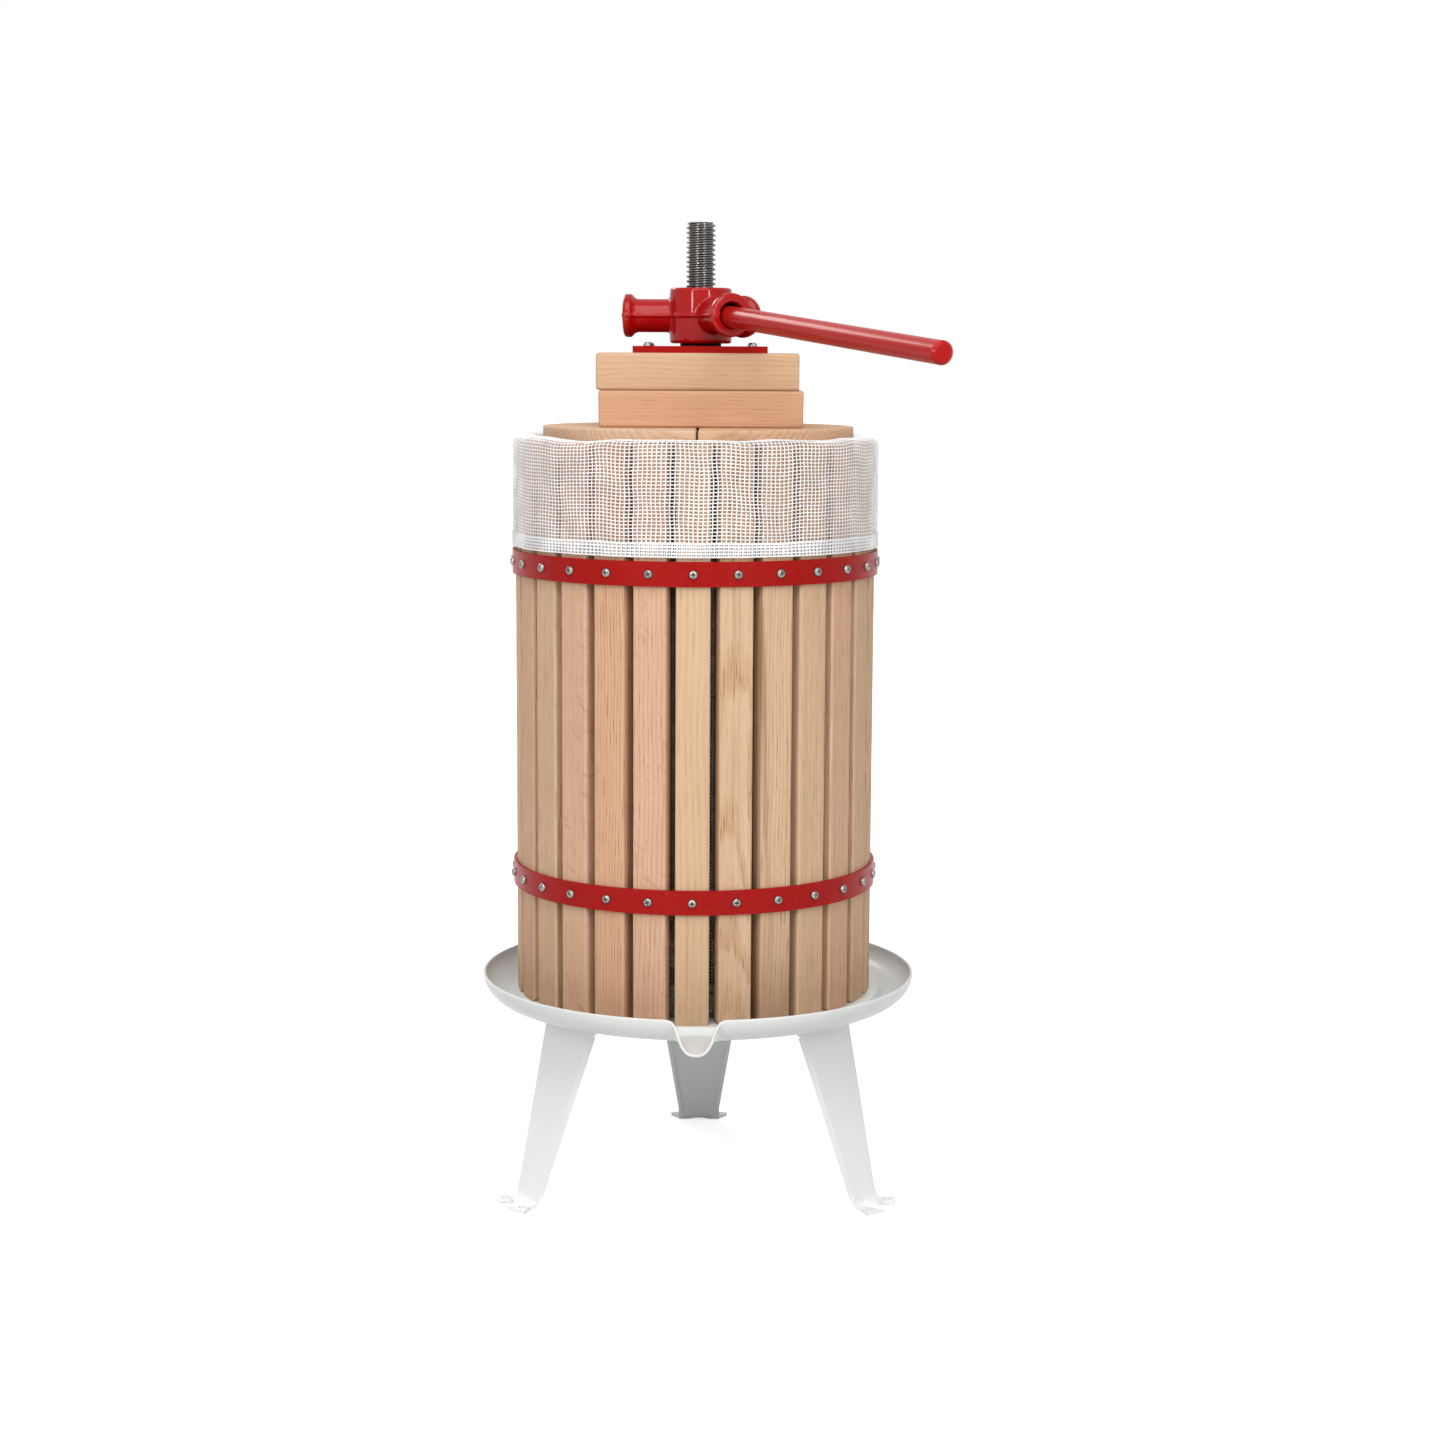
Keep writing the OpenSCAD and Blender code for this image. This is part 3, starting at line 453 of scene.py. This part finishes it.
def make_tray():
    inner = np.array([(r, PLATFORM_Z) for r in PLATFORM_STOPS])
    step = bend((PLATFORM_R - BEND_RUN, PLATFORM_Z), (PLATFORM_R, PLATFORM_Z),
                (PLATFORM_R + BEND_SIDE, PLATFORM_Z - BEND_RUN))
    foot = bend((GUTTER_R - BEND_SIDE, GUTTER_Z + BEND_RUN), (GUTTER_R, GUTTER_Z),
                (GUTTER_R + BEND_RUN, GUTTER_Z))
    turn = np.linspace(0, 1, TRAY_WALL_STEPS + 1)[1:]
    wall_r = GUTTER_R + BEND_RUN + (TRAY_WALL_RUN - BEND_RUN) * np.sin(turn * math.pi / 2)
    wall_z = GUTTER_Z + (TRAY_RIM_Z - GUTTER_Z) * (1 - np.cos(turn * math.pi / 2))
    flat = np.concatenate([inner, step, foot])
    radius = np.concatenate([flat[:, 0], wall_r])[:, None]
    height = np.concatenate([flat[:, 1], wall_z])[:, None]
    t = np.concatenate([np.zeros(len(flat)), turn])[:, None]

    at_spout = np.linspace(-SPOUT_SPAN, SPOUT_SPAN, SPOUT_STEPS)
    rest = np.linspace(SPOUT_SPAN, 360 - SPOUT_SPAN, RIM_STEPS)[1:-1]
    angles = np.radians(np.concatenate([at_spout, rest]))
    side = TRAY_RIM_R * np.sin(angles)
    share = np.interp(np.abs(side), MM * np.array(SPOUT_HALF), SPOUT_SHARE)
    share = np.where(np.cos(angles) > 0, share, 0.0)

    keep = np.where(t > 0, share, 0.0)
    tip_r = GUTTER_R + (SPOUT_TIP_R - GUTTER_R) * t
    tip_z = GUTTER_Z - SPOUT_FALL * t
    tip_x = keep * side * SPOUT_TAPER * (1 - SPOUT_PINCH * t)
    x = radius * np.sin(angles) * (1 - keep) + tip_x
    y = -radius * np.cos(angles) * (1 - keep) - keep * tip_r
    z = height * (1 - keep) + keep * tip_z
    points = np.stack([x, y, z], axis=-1).reshape(-1, 3)
    tray = mesh_object("tray_pan", points, ring_faces(len(t), len(angles)), materials["tray"])
    sheet = tray.modifiers.new("sheet", "SOLIDIFY")
    sheet.thickness = TRAY_SHEET
    sheet.offset = 1
    sheet.use_even_offset = True
    soften(tray, TRAY_EDGE, angle=TRAY_EDGE_ANGLE)
    ride_as(tray, "base", "white_enamel", "tray")


# Spindle with a true helical thread

THREAD_PITCH = 3.6 * MM
THREAD_DEPTH = 1.9 * MM
THREAD_LEN = 190 * MM
THREAD_SIDES = 64
THREAD_SHARP = 32
CHAMFER = 1.2 * MM
END_INSET = 0.6 * MM
END_LIP = 0.1 * MM
END_FALL = 0.15 * MM
STUD_R = 8 * MM

# One turn of the thread: share of the pitch, and depth below the crest
THREAD_SHAPE = [(0.0, 0.0), (0.16, 0.0), (0.24, 0.25 * MM),
                (0.48, THREAD_DEPTH), (0.74, THREAD_DEPTH), (0.92, 0.2 * MM)]


def make_spindle():
    top, low = SPINDLE_HIGH.z, SPINDLE_LOW.z
    outer = SPINDLE_HIGH.x
    root = outer - THREAD_DEPTH
    start = top - THREAD_LEN
    turns = int(THREAD_LEN / THREAD_PITCH) + 3
    angle = np.linspace(0, TAU, THREAD_SIDES, endpoint=False)
    rows_z, rows_r = [], []
    for turn in range(-1, turns):
        for phase, depth in THREAD_SHAPE:
            rows_z.append(start + THREAD_PITCH * (turn + phase + angle / TAU))
            rows_r.append(np.full(THREAD_SIDES, outer - depth))
    z, r = np.array(rows_z), np.array(rows_r)
    chamfer = np.clip((top - z) / CHAMFER, 0, 1)
    chamfered = np.minimum(r, root + (outer - root) * np.sqrt(chamfer))
    r = np.where(z < start, outer, chamfered)
    z = np.clip(z, start, top)
    points = list(np.stack([r * np.cos(angle), r * np.sin(angle), z], axis=-1).reshape(-1, 3))

    # The last side of a turn joins the first side of the next turn
    faces, rows = [], len(rows_z)
    for row in range(rows - 1):
        for side in range(THREAD_SIDES):
            last = side + 1 == THREAD_SIDES
            after, climb = (0, len(THREAD_SHAPE)) if last else (side + 1, 0)
            if row + 1 + climb < rows:
                here, there = row * THREAD_SIDES + side, (row + climb) * THREAD_SIDES + after
                faces.append((here, there, there + THREAD_SIDES, here + THREAD_SIDES))

    def ring(radius, height):
        first = len(points)
        for a in angle:
            points.append((radius * math.cos(a), radius * math.sin(a), height))
        return [first + i for i in range(THREAD_SIDES)]

    def join(upper, lower):
        for i in range(THREAD_SIDES):
            k = (i + 1) % THREAD_SIDES
            faces.append((upper[i], lower[i], lower[k], upper[k]))

    end = ring(root - END_INSET, top)
    faces.append(tuple(end))
    join(end, ring(root + END_LIP, top - END_FALL))
    shank_top, shank_low = ring(outer, start), ring(outer, PLATFORM_Z)
    join(shank_top, shank_low)
    stud_top, stud_low = ring(STUD_R, PLATFORM_Z), ring(STUD_R, low)
    join(shank_low, stud_top)
    join(stud_top, stud_low)
    faces.append(tuple(reversed(stud_low)))
    spindle = mesh_object("spindle_screw", points, faces, materials["spindle"])
    spindle.data.set_sharp_from_angle(angle=math.radians(THREAD_SHARP))
    ride_as(spindle, "base", "spindle_steel", "spindle")


# Net bag: woven yarns that line the basket, fold over its rim and hang outside

NET_COLUMNS = 258
NET_ROW = 2.55 * MM
NET_W = (0.78 * MM, 0.72 * MM)
HEM_W = (1.05 * MM, 1.00 * MM)
LINING_W = (0.6 * MM, 0.6 * MM)
WEAVE = 0.22 * MM
YARN_CROWN = 0.42 * MM
LINING_CROWN = 0.45 * MM
SKIRT_R = BAG_HIGH.x - BASKET_X - 0.7 * MM
LINING_R = STAVE_IN - 0.75 * MM
HEM_Z = STAVE_TOP_Z - 80 * MM
HEM_TALL = 9.5 * MM
HEM_START = 0.3 * MM
HEM_LIFT = 0.75 * MM
FOLD_RISE = 2.2 * MM
FOLD_TURN = 5 * MM
FOLD_STEPS = 7
SKIRT_INSIDE = 12 * MM
BAG_FLOOR_Z = BAG_LOW.z + 0.4 * MM
BAG_HOLE_R = 36 * MM

# Fixed irregular waves round the bag: lobes, millimetres and phase of each part
RIM_WAVE = [(3, 0.5, 0.4), (5, 0.5, 2.1), (8, 0.55, 4.0), (13, 0.35, 1.2), (21, 0.2, 5.1)]
SKIRT_WAVE = [(4, 0.18, 1.0), (7, 0.22, 3.0), (11, 0.22, 0.2), (19, 0.15, 2.2), (27, 0.25, 0.6)]
DRAW_WAVE = [(5, 0.5, 2.7), (9, 0.5, 0.8), (16, 0.35, 4.4), (29, 0.2, 3.3)]
LEAN_WAVE = [(6, 0.30, 5.2), (12, 0.35, 1.7), (23, 0.25, 0.9)]

# Where the waves fade: from the hem, before the floor's hole, from the rim and down the skirt
DRAW_START = 2 * MM
DRAW_EASE = 20 * MM
HOLE_CALM = 12 * MM
RIM_REACH = 30 * MM
HANG_REACH = 40 * MM
SKIRT_CALM = 0.4
LEAN_RUN = 9.0
LEAN_LEAST_R = 30 * MM
TANGENT_STEP = 0.8 * MM


def ripple(angle, parts):
    """The height of a wave at angles round the bag, in metres."""
    return MM * sum(height * np.sin(lobes * angle + phase) for lobes, height, phase in parts)


def net_path():
    """The bag's cut from the hem, over the rim, to the floor's hole: places and distances."""
    top = STAVE_TOP_Z + FOLD_RISE
    corner = np.linspace(0, math.pi / 2, FOLD_STEPS)
    near = [(FOLD_TURN * (1 - math.cos(a)), FOLD_TURN * (1 - math.sin(a))) for a in corner]
    parts = [
        [(SKIRT_R, HEM_Z), (SKIRT_R, top - FOLD_TURN)],
        [(SKIRT_R - a, top - b) for a, b in near],
        [(LINING_R + b, top - a) for a, b in near],
        [(LINING_R, top - FOLD_TURN), (LINING_R, BAG_FLOOR_Z + FOLD_TURN)],
        [(LINING_R - a, BAG_FLOOR_Z + b) for a, b in near],
        [(BAG_HOLE_R, BAG_FLOOR_Z)],
    ]
    path = np.array([p for part in parts for p in part])
    step = np.hypot(*np.diff(path, axis=0).T)
    return path, np.concatenate([[0], np.cumsum(step)])


NET_PATH, NET_S = net_path()
NET_LENGTH = NET_S[-1]


def on_path(s):
    """Radius and height of the bag's cut at distances along it."""
    return np.interp(s, NET_S, NET_PATH[:, 0]), np.interp(s, NET_S, NET_PATH[:, 1])


def net_point(angle, s):
    """Places and outward directions on the bag at angles and distances along its cut."""
    drawn = np.clip((s - DRAW_START) / DRAW_EASE, 0, 1) * (s < NET_LENGTH - HOLE_CALM)
    s_wave = np.clip(s + ripple(angle, DRAW_WAVE) * drawn, 0, NET_LENGTH)
    r, z = on_path(s_wave)
    r_after, z_after = on_path(s_wave + TANGENT_STEP)
    r_before, z_before = on_path(s_wave - TANGENT_STEP)
    run_r, run_z = r_after - r_before, z_after - z_before
    size = np.maximum(np.hypot(run_r, run_z), TINY)
    out_r, out_z = run_z / size, -run_r / size
    near_rim = np.clip(1 - np.abs(z - STAVE_TOP_Z) / RIM_REACH, 0, 1)
    outside = np.clip((r - STAVE_IN) / (STAVE_OUT - STAVE_IN), 0, 1)
    hang = np.clip((STAVE_TOP_Z - z) / HANG_REACH, 0, 1) * outside
    z = z + ripple(angle, RIM_WAVE) * near_rim
    r = r + ripple(angle, SKIRT_WAVE) * (SKIRT_CALM + hang) * outside
    lean = ripple(angle + s * LEAN_RUN, LEAN_WAVE) / np.maximum(r, LEAN_LEAST_R) * outside
    across, ahead = np.sin(angle + lean), -np.cos(angle + lean)
    place = np.stack([BASKET_X + r * across, r * ahead, z], axis=-1)
    out = np.stack([out_r * across, out_r * ahead, out_z], axis=-1)
    return place, out


def yarn_strip(centre, out, side, width, crown):
    """A ribbon of yarn: two edges and, with a crown, a raised middle, on the last axis but one."""
    left, right = centre - side * width / 2, centre + side * width / 2
    if crown:
        return np.stack([left, centre + out * crown, right], axis=-2)
    return np.stack([left, right], axis=-2)


def strip_faces(strips, length, across, start, closed):
    """Quads of many ribbons that share a length and a number of points across."""
    base = np.arange(strips)[:, None, None] * length * across
    i = np.arange(length if closed else length - 1)[None, :, None]
    k = np.arange(across - 1)[None, None, :]
    here, after = base + i * across + k, base + (i + 1) % length * across + k
    return np.stack([here, here + 1, after + 1, after], axis=-1).reshape(-1, 4) + start


def weave(s_low, s_high, crown, turn=0.0, lift=0.0, widths=NET_W):
    """Points and faces of warp and weft yarns between two distances along the cut."""
    rows = max(2, int(round((s_high - s_low) / NET_ROW)) + 1)
    s = np.linspace(s_low, s_high, rows)
    column = np.arange(NET_COLUMNS)
    angle = TAU * (column + turn) / NET_COLUMNS
    place, out = net_point(*np.meshgrid(angle, s, indexing="ij"))
    place = place + out * lift
    even = (column[:, None] + np.arange(rows)[None, :]) % 2 == 0
    over = np.where(even, 1.0, -1.0)[..., None]
    around = np.roll(place, -1, axis=0) - np.roll(place, 1, axis=0)
    around /= np.linalg.norm(around, axis=-1, keepdims=True)
    run = np.gradient(place, axis=1)
    run /= np.maximum(np.linalg.norm(run, axis=-1, keepdims=True), TINY)
    warp = yarn_strip(place + out * over * WEAVE, out, around, widths[0], crown)
    weft = yarn_strip(place - out * over * WEAVE, out, run, widths[1], crown)
    across = warp.shape[2]
    warp_points, weft_points = warp.reshape(-1, 3), np.swapaxes(weft, 0, 1).reshape(-1, 3)
    warp_faces = strip_faces(NET_COLUMNS, rows, across, 0, False)
    weft_faces = strip_faces(rows, NET_COLUMNS, across, len(warp_points), True)
    return np.concatenate([warp_points, weft_points]), np.concatenate([warp_faces, weft_faces])


def joined(parts):
    """One set of points and faces from several."""
    points, faces, start = [], [], 0
    for part_points, part_faces in parts:
        points.append(part_points)
        faces.append(part_faces + start)
        start += len(part_points)
    return np.concatenate(points), np.concatenate(faces)


def make_bag():
    over_rim = NET_S[np.argmax(NET_PATH[:, 1])] + SKIRT_INSIDE
    lining_end = NET_LENGTH - (LINING_R - BAG_HOLE_R)
    net = weave(0.0, over_rim, YARN_CROWN)
    hem = weave(HEM_START, HEM_TALL, YARN_CROWN, turn=0.5, lift=HEM_LIFT, widths=HEM_W)
    inside = weave(over_rim, lining_end, LINING_CROWN, widths=LINING_W)
    skirt = mesh_object("bag_skirt", *joined([net, hem]), materials["net"])
    # The lining takes the darker yarn: painted shade inside the basket
    lining = mesh_object("bag_lining", *inside, materials["shaded_lining"])
    floor = mesh_object("bag_floor", *weave(lining_end, NET_LENGTH, 0.0), materials["net"])
    ride_as(skirt, "basket", "net", "press_bag")
    ride_as(lining, "basket", "net")
    ride_as(floor, "basket", "net")


# Screw heads: pan heads with a cross recess

SCREW_SIDES = 32
SCREW_SHARP = 50
HOOP_HEAD_R = 3.3 * MM
HOOP_HEAD_TALL = 2.3 * MM
PLATE_HEAD_R = 3.25 * MM
PLATE_HEAD_TALL = 2.8 * MM

# Rings of a head from its seat to the recess's floor: shares of a radius and of the height
DOME_RINGS = [(1.0, 0.0), (1.0, 0.22), (0.95, 0.50), (0.83, 0.76), (0.64, 0.94)]
RECESS_RINGS = [(1.06, 1.0), (1.0, 0.96), (0.70, 0.30), (0.12, 0.0)]
RECESS_CORE = 0.20
RECESS_ARM = 0.40


def screw_head(radius, height, spin):
    """Points and faces of one head that stands on z = 0."""
    angle = TAU * np.arange(SCREW_SIDES) / SCREW_SIDES
    arms = np.abs(np.cos(2 * (angle - spin))) ** 4
    cross = radius * (RECESS_CORE + RECESS_ARM * arms)
    full = np.full(SCREW_SIDES, radius)
    rings = [(share * full, z) for share, z in DOME_RINGS]
    rings += [(share * cross, z) for share, z in RECESS_RINGS]
    points = [np.stack([r * np.cos(angle), r * np.sin(angle), np.full(SCREW_SIDES, z * height)],
                       axis=-1) for r, z in rings]
    faces = [tuple(f) for f in ring_faces(len(rings), SCREW_SIDES)]
    faces.append(tuple((len(rings) - 1) * SCREW_SIDES + i for i in range(SCREW_SIDES)))
    return np.concatenate(points), faces


def make_screws(name, node, body, places, radius, height):
    """All the heads of one group, each placed by a matrix that turns +Z outwards."""
    points, faces = [], []
    for number, place in enumerate(places):
        spin = 1.9 * number + 0.4 * math.sin(5.0 * number)
        head, head_faces = screw_head(radius, height, spin)
        start = len(points)
        points.extend(place @ Vector(p) for p in head)
        faces.extend(tuple(start + i for i in f) for f in head_faces)
    group = mesh_object(name, points, faces, materials["zinc"])
    group.data.set_sharp_from_angle(angle=math.radians(SCREW_SHARP))
    ride_as(group, body, "zinc", node)


def stave_azimuth(number):
    """Degrees round the basket of a stave, counted from 0 at the front."""
    return -90 + number * 360 / len(STAVES)


def make_all_screws():
    out = Matrix.Translation((HOOP_OUT, 0, 0)) @ Matrix.Rotation(math.radians(90), 4, "Y")
    for level in ("upper", "lower"):
        low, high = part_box(f"{level}_hoop")
        centre = Matrix.Translation((BASKET_X, 0, (low.z + high.z) / 2))
        places = []
        for number in range(len(STAVES)):
            turn = Matrix.Rotation(math.radians(stave_azimuth(number)), 4, "Z")
            places.append(centre @ turn @ out)
        make_screws(f"{level}_screw_heads", f"{level}_hoop_screws", "basket", places,
                    HOOP_HEAD_R, HOOP_HEAD_TALL)
    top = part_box("pressure_plate")[1].z
    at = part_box("plate_screws")[1].x - PLATE_HEAD_R
    places = [Matrix.Translation((x, y, top)) for x in (-at, at) for y in (-at, at)]
    make_screws("plate_screw_heads", "plate_screws", "press_head", places,
                PLATE_HEAD_R, PLATE_HEAD_TALL)


# Drive nut: the CAD casting with its corners rounded as sand casting leaves them

CAST_VOXEL = 0.8 * MM
CAST_PASSES = 6
SOCKET_AZIMUTHS = (174, -66, 54)
MOUTH_R = 9.55 * MM
MOUTH_FLARE = 0.8 * MM
MOUTH_DEPTH = 1.6 * MM
MOUTH_LEAST_R = 1 * MM
RIDGE_HALF = 1.6 * MM
RIDGE_RISE = 1.0 * MM
RIDGE_LEAST_R = 18 * MM


def make_drive_nut():
    rough = bpy.data.objects.new("cast_rough", nodes["drive_nut"].data.copy())
    bpy.context.scene.collection.objects.link(rough)
    wear_round(rough, CAST_VOXEL, CAST_PASSES)
    bpy.context.view_layer.update()
    solid = rough.evaluated_get(bpy.context.evaluated_depsgraph_get()).to_mesh()
    count = len(solid.vertices)
    points, normals = np.empty(count * 3), np.empty(count * 3)
    solid.vertices.foreach_get("co", points)
    solid.vertex_normals.foreach_get("vector", normals)
    points, normals = points.reshape(-1, 3), normals.reshape(-1, 3)
    faces = [tuple(p.vertices) for p in solid.polygons]
    bpy.data.objects.remove(rough)

    # The mould's halves met at mid height and left a low, uneven ridge there
    low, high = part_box("drive_nut")
    middle_z = (low.z + high.z) / 2
    off = (points[:, 2] - middle_z) / RIDGE_HALF
    far_out = np.hypot(points[:, 0], points[:, 1]) > RIDGE_LEAST_R
    outward = (np.abs(normals[:, 2]) < 0.5) & far_out
    uneven = 0.65 + 0.35 * np.sin(points[:, 0] * 310 + 1.0) * np.sin(points[:, 1] * 270)
    ridge = np.where(outward, np.clip(1 - off ** 2, 0, 1) * RIDGE_RISE * uneven, 0)
    points = points + normals * ridge[:, None]

    # The mouths of the sockets are flared
    for azimuth in map(math.radians, SOCKET_AZIMUTHS):
        along = np.array([math.cos(azimuth), math.sin(azimuth), 0.0])
        off_axis = points - np.array([0, 0, middle_z])
        ahead = off_axis @ along
        across = off_axis - ahead[:, None] * along
        size = np.linalg.norm(across, axis=1)
        depth = ahead.max() - ahead
        least = MOUTH_R + MOUTH_FLARE * (1 - depth / MOUTH_DEPTH)
        inside = (depth < MOUTH_DEPTH) & (size < least) & (size > MOUTH_LEAST_R)
        points[inside] += across[inside] * (least[inside] / size[inside] - 1)[:, None]
    nut = mesh_object("cast_nut", points, faces, materials["casting"])
    ride_as(nut, "nut", "red_casting", "drive_nut")


# Staves: CAD nodes in oak

PINK, YELLOW = rgb(199, 161, 134), rgb(195, 163, 131)
TAN, RUDDY = rgb(198, 166, 136), rgb(197, 157, 127)
REAR_TONES = [YELLOW, TAN, TAN, PINK, TAN, PINK, RUDDY, TAN, YELLOW]
REAR_CUTS = ("rift", "quarter", "flat", "rift", "quarter")

# Staves seen from the front: tone, cut, ring width in mm, flecks, streak and contrast of grain
FRONT_STAVES = {
    1: (YELLOW, "rift", 3.6, 0.0, 0.0, 0.5),
    2: (TAN, "flat", 2.6, 0.0, 0.45, 1.4),
    3: (TAN, "rift", 2.4, 0.0, 0.7, 1.2),
    4: (TAN, "quarter", 2.2, 0.1, 0.0, 1.05),
    5: (PINK, "rift", 2.0, 0.0, 0.1, 1.0),
    6: (TAN, "quarter", 2.4, 0.0, 0.0, 1.0),
    27: (PINK, "rift", 2.8, 0.7, 0.0, 1.0),
    26: (RUDDY, "rift", 2.0, 0.15, 0.0, 1.35),
    25: (PINK, "quarter", 2.6, 1.0, 0.0, 0.8),
    24: (TAN, "quarter", 2.6, 0.0, 0.0, 0.95),
    23: (PINK, "rift", 2.4, 0.0, 0.0, 1.0),
}

# Cuts of a plank: the pith's depth behind the face, its place to the side, and the rings' taper
CUTS = {
    "flat": (0.055, 0.004, 0.035),
    "rift": (0.070, 0.085, 0.006),
    "quarter": (0.010, 0.140, 0.003),
}
STAVE_SEED = 1.37
STAVE_DIRT = 0.38
DIRTIER_STAVES = {3: 0.75}


def rear_stave(number):
    """The same values as in FRONT_STAVES, for a stave that the photograph hides."""
    return (REAR_TONES[number % len(REAR_TONES)], REAR_CUTS[number % len(REAR_CUTS)],
            2.0 + number % 4 * 0.4, 0.4 * (number % 4 == 0), 0.3 * (number % 5 == 0),
            0.7 + 0.15 * (number % 4))


def finish_staves():
    for number, name in enumerate(STAVES, start=1):
        look = FRONT_STAVES.get(number) or rear_stave(number)
        tone, cut, ring, flecks, streak, contrast = look
        depth, sideways, taper = CUTS[cut]
        pith = (STAVE_OUT - depth, sideways if number % 2 else -sideways)
        finish_node(name, oak(
            f"oak_{name}", tone, stave_azimuth(number - 1), "Z", pith, number * STAVE_SEED,
            ring * MM, taper, flecks, streak, contrast, DIRTIER_STAVES.get(number, STAVE_DIRT)))


# Boards: CAD nodes in oak, by tone, seed, pith and contrast of grain

BOARDS = {
    "left_half_disc": (rgb(204, 169, 141), 0.3, (0.53, 0.05), 0.8),
    "right_half_disc": (rgb(207, 168, 136), 4.1, (0.55, -0.04), 1.0),
    "lower_block_front": (rgb(193, 149, 118), 1.9, (0.50, -0.03), 0.5),
    "lower_block_rear": (rgb(191, 151, 121), 6.3, (0.50, 0.03), 0.8),
    "upper_block_front": (rgb(193, 157, 126), 2.7, (0.69, -0.09), 0.5),
    "upper_block_rear": (rgb(189, 152, 123), 8.8, (0.69, 0.09), 0.8),
}
BOARD_TAPER = 0.012
BOARD_STREAK = 0.18
WORN_VOXEL = 1.0 * MM
BLOCK_PASSES = 9
DISC_PASSES = 3


def finish_boards():
    for name, (tone, seed, pith, contrast) in BOARDS.items():
        finish_node(name, oak(f"oak_{name}", tone, along="X", pith=pith, seed=seed,
                              taper=BOARD_TAPER, streak=BOARD_STREAK, contrast=contrast))
        wear_round(nodes[name], WORN_VOXEL, BLOCK_PASSES if "block" in name else DISC_PASSES)


# Metal: the other CAD nodes that are shown as they are

METAL_FINISHES = {
    "red": ("upper_hoop", "lower_hoop", "pressure_plate"),
    "bar": ("handle_bar", "handle_end_plug"),
    "leg": ("leg_left", "leg_right", "leg_rear"),
    "zinc": ("leg_bolts", "leg_nuts", "spindle_washer", "spindle_nut"),
    # The collar finish is near-black painted shade
    "collar": ("spindle_flange", "thrust_collar"),
}
LEG_EDGE = 0.9 * MM
LEG_EDGE_STEPS = 3
PLATE_EDGE = 0.5 * MM
HOOP_EDGE = 0.35 * MM


def finish_metal():
    for finish, names in METAL_FINISHES.items():
        for name in names:
            finish_node(name, materials[finish])
    for name in METAL_FINISHES["leg"]:
        soften(nodes[name], LEG_EDGE, LEG_EDGE_STEPS)
    soften(nodes["pressure_plate"], PLATE_EDGE)
    for name in ("upper_hoop", "lower_hoop"):
        soften(nodes[name], HOOP_EDGE)


# Stage: a white floor and soft studio light

WHITE = (1, 1, 1, 1)
FLOOR_HALF = 30.0
FLOOR_TONE = (0.66, 0.66, 0.66, 1)
GLOW_NEAR, GLOW_FAR = 0.5, 2.0
GLOW_LEAST = 0.72
AMBIENT = 0.42
MIDDLE = (0, 0, 0.42)
BAR = (0.08, -0.18, 0.655)

# Softboxes: place, aim, size in metres and power in watts
LAMPS = {
    "left": ((-1.30, -2.15, 1.25), MIDDLE, (0.30, 1.2), 20),
    "right": ((1.30, -2.15, 1.25), MIDDLE, (0.30, 1.2), 20),
    "top": ((0.0, -1.5, 2.45), MIDDLE, (1.8, 2.0), 42),
    "rim": ((-1.51, 2.07, 1.94), BAR, (1.1, 0.55), 18),
}


def make_floor():
    """White paper to the horizon: it keeps the shadow near the press and is pure white far off."""
    corners = [(-FLOOR_HALF, -FLOOR_HALF, 0), (FLOOR_HALF, -FLOOR_HALF, 0),
               (FLOOR_HALF, FLOOR_HALF, 0), (-FLOOR_HALF, FLOOR_HALF, 0)]
    s = Shader("studio_floor")
    s.give(Base_Color=FLOOR_TONE, Roughness=0.9, Specular_IOR_Level=0.0)
    paths = s.node("ShaderNodeLightPath").outputs
    mirrored = s.math("MAXIMUM", paths["Is Glossy Ray"], paths["Is Transmission Ray"])
    seen = s.math("MAXIMUM", paths["Is Camera Ray"], mirrored)
    away = s.node("ShaderNodeVectorMath", {0: s.place()}, operation="LENGTH").outputs["Value"]
    glow = s.between(away, GLOW_NEAR, GLOW_FAR, GLOW_LEAST, 1.0)
    s.give(Emission_Color=WHITE, Emission_Strength=s.times(seen, glow))
    mesh_object("studio_floor", corners, [(0, 1, 2, 3)], s.material, smooth=False)


def make_world():
    """White to the camera and in mirrors, and a soft ambient light."""
    world = bpy.data.worlds.new("studio")
    bpy.context.scene.world = world
    world.use_nodes = True
    tree = world.node_tree
    paths = tree.nodes.new("ShaderNodeLightPath").outputs
    backdrop = tree.nodes["Background"]
    backdrop.inputs["Color"].default_value = WHITE

    def combine(operation, a, b):
        made = tree.nodes.new("ShaderNodeMath")
        made.operation = operation
        for socket, value in zip(made.inputs, (a, b)):
            if isinstance(value, float):
                socket.default_value = value
            else:
                tree.links.new(value, socket)
        return made.outputs[0]

    mirrored = combine("MAXIMUM", paths["Is Glossy Ray"], paths["Is Transmission Ray"])
    seen = combine("MAXIMUM", paths["Is Camera Ray"], mirrored)
    strength = combine("ADD", AMBIENT, combine("MULTIPLY", seen, 1.0 - AMBIENT))
    tree.links.new(strength, backdrop.inputs["Strength"])


def make_lights():
    for name, (place, aim, size, power) in LAMPS.items():
        data = bpy.data.lights.new(name, "AREA")
        data.shape = "RECTANGLE"
        data.size, data.size_y = size
        data.energy = power
        lamp = bpy.data.objects.new(name, data)
        bpy.context.scene.collection.objects.link(lamp)
        lamp.location = place
        towards = Vector(aim) - Vector(place)
        lamp.rotation_euler = towards.to_track_quat("-Z", "Y").to_euler()


make_camera()
make_floor()
make_world()
make_lights()
make_tray()
make_spindle()
make_bag()
make_all_screws()
make_drive_nut()
finish_staves()
finish_boards()
finish_metal()
bpy.context.scene.view_settings.view_transform = "Standard"
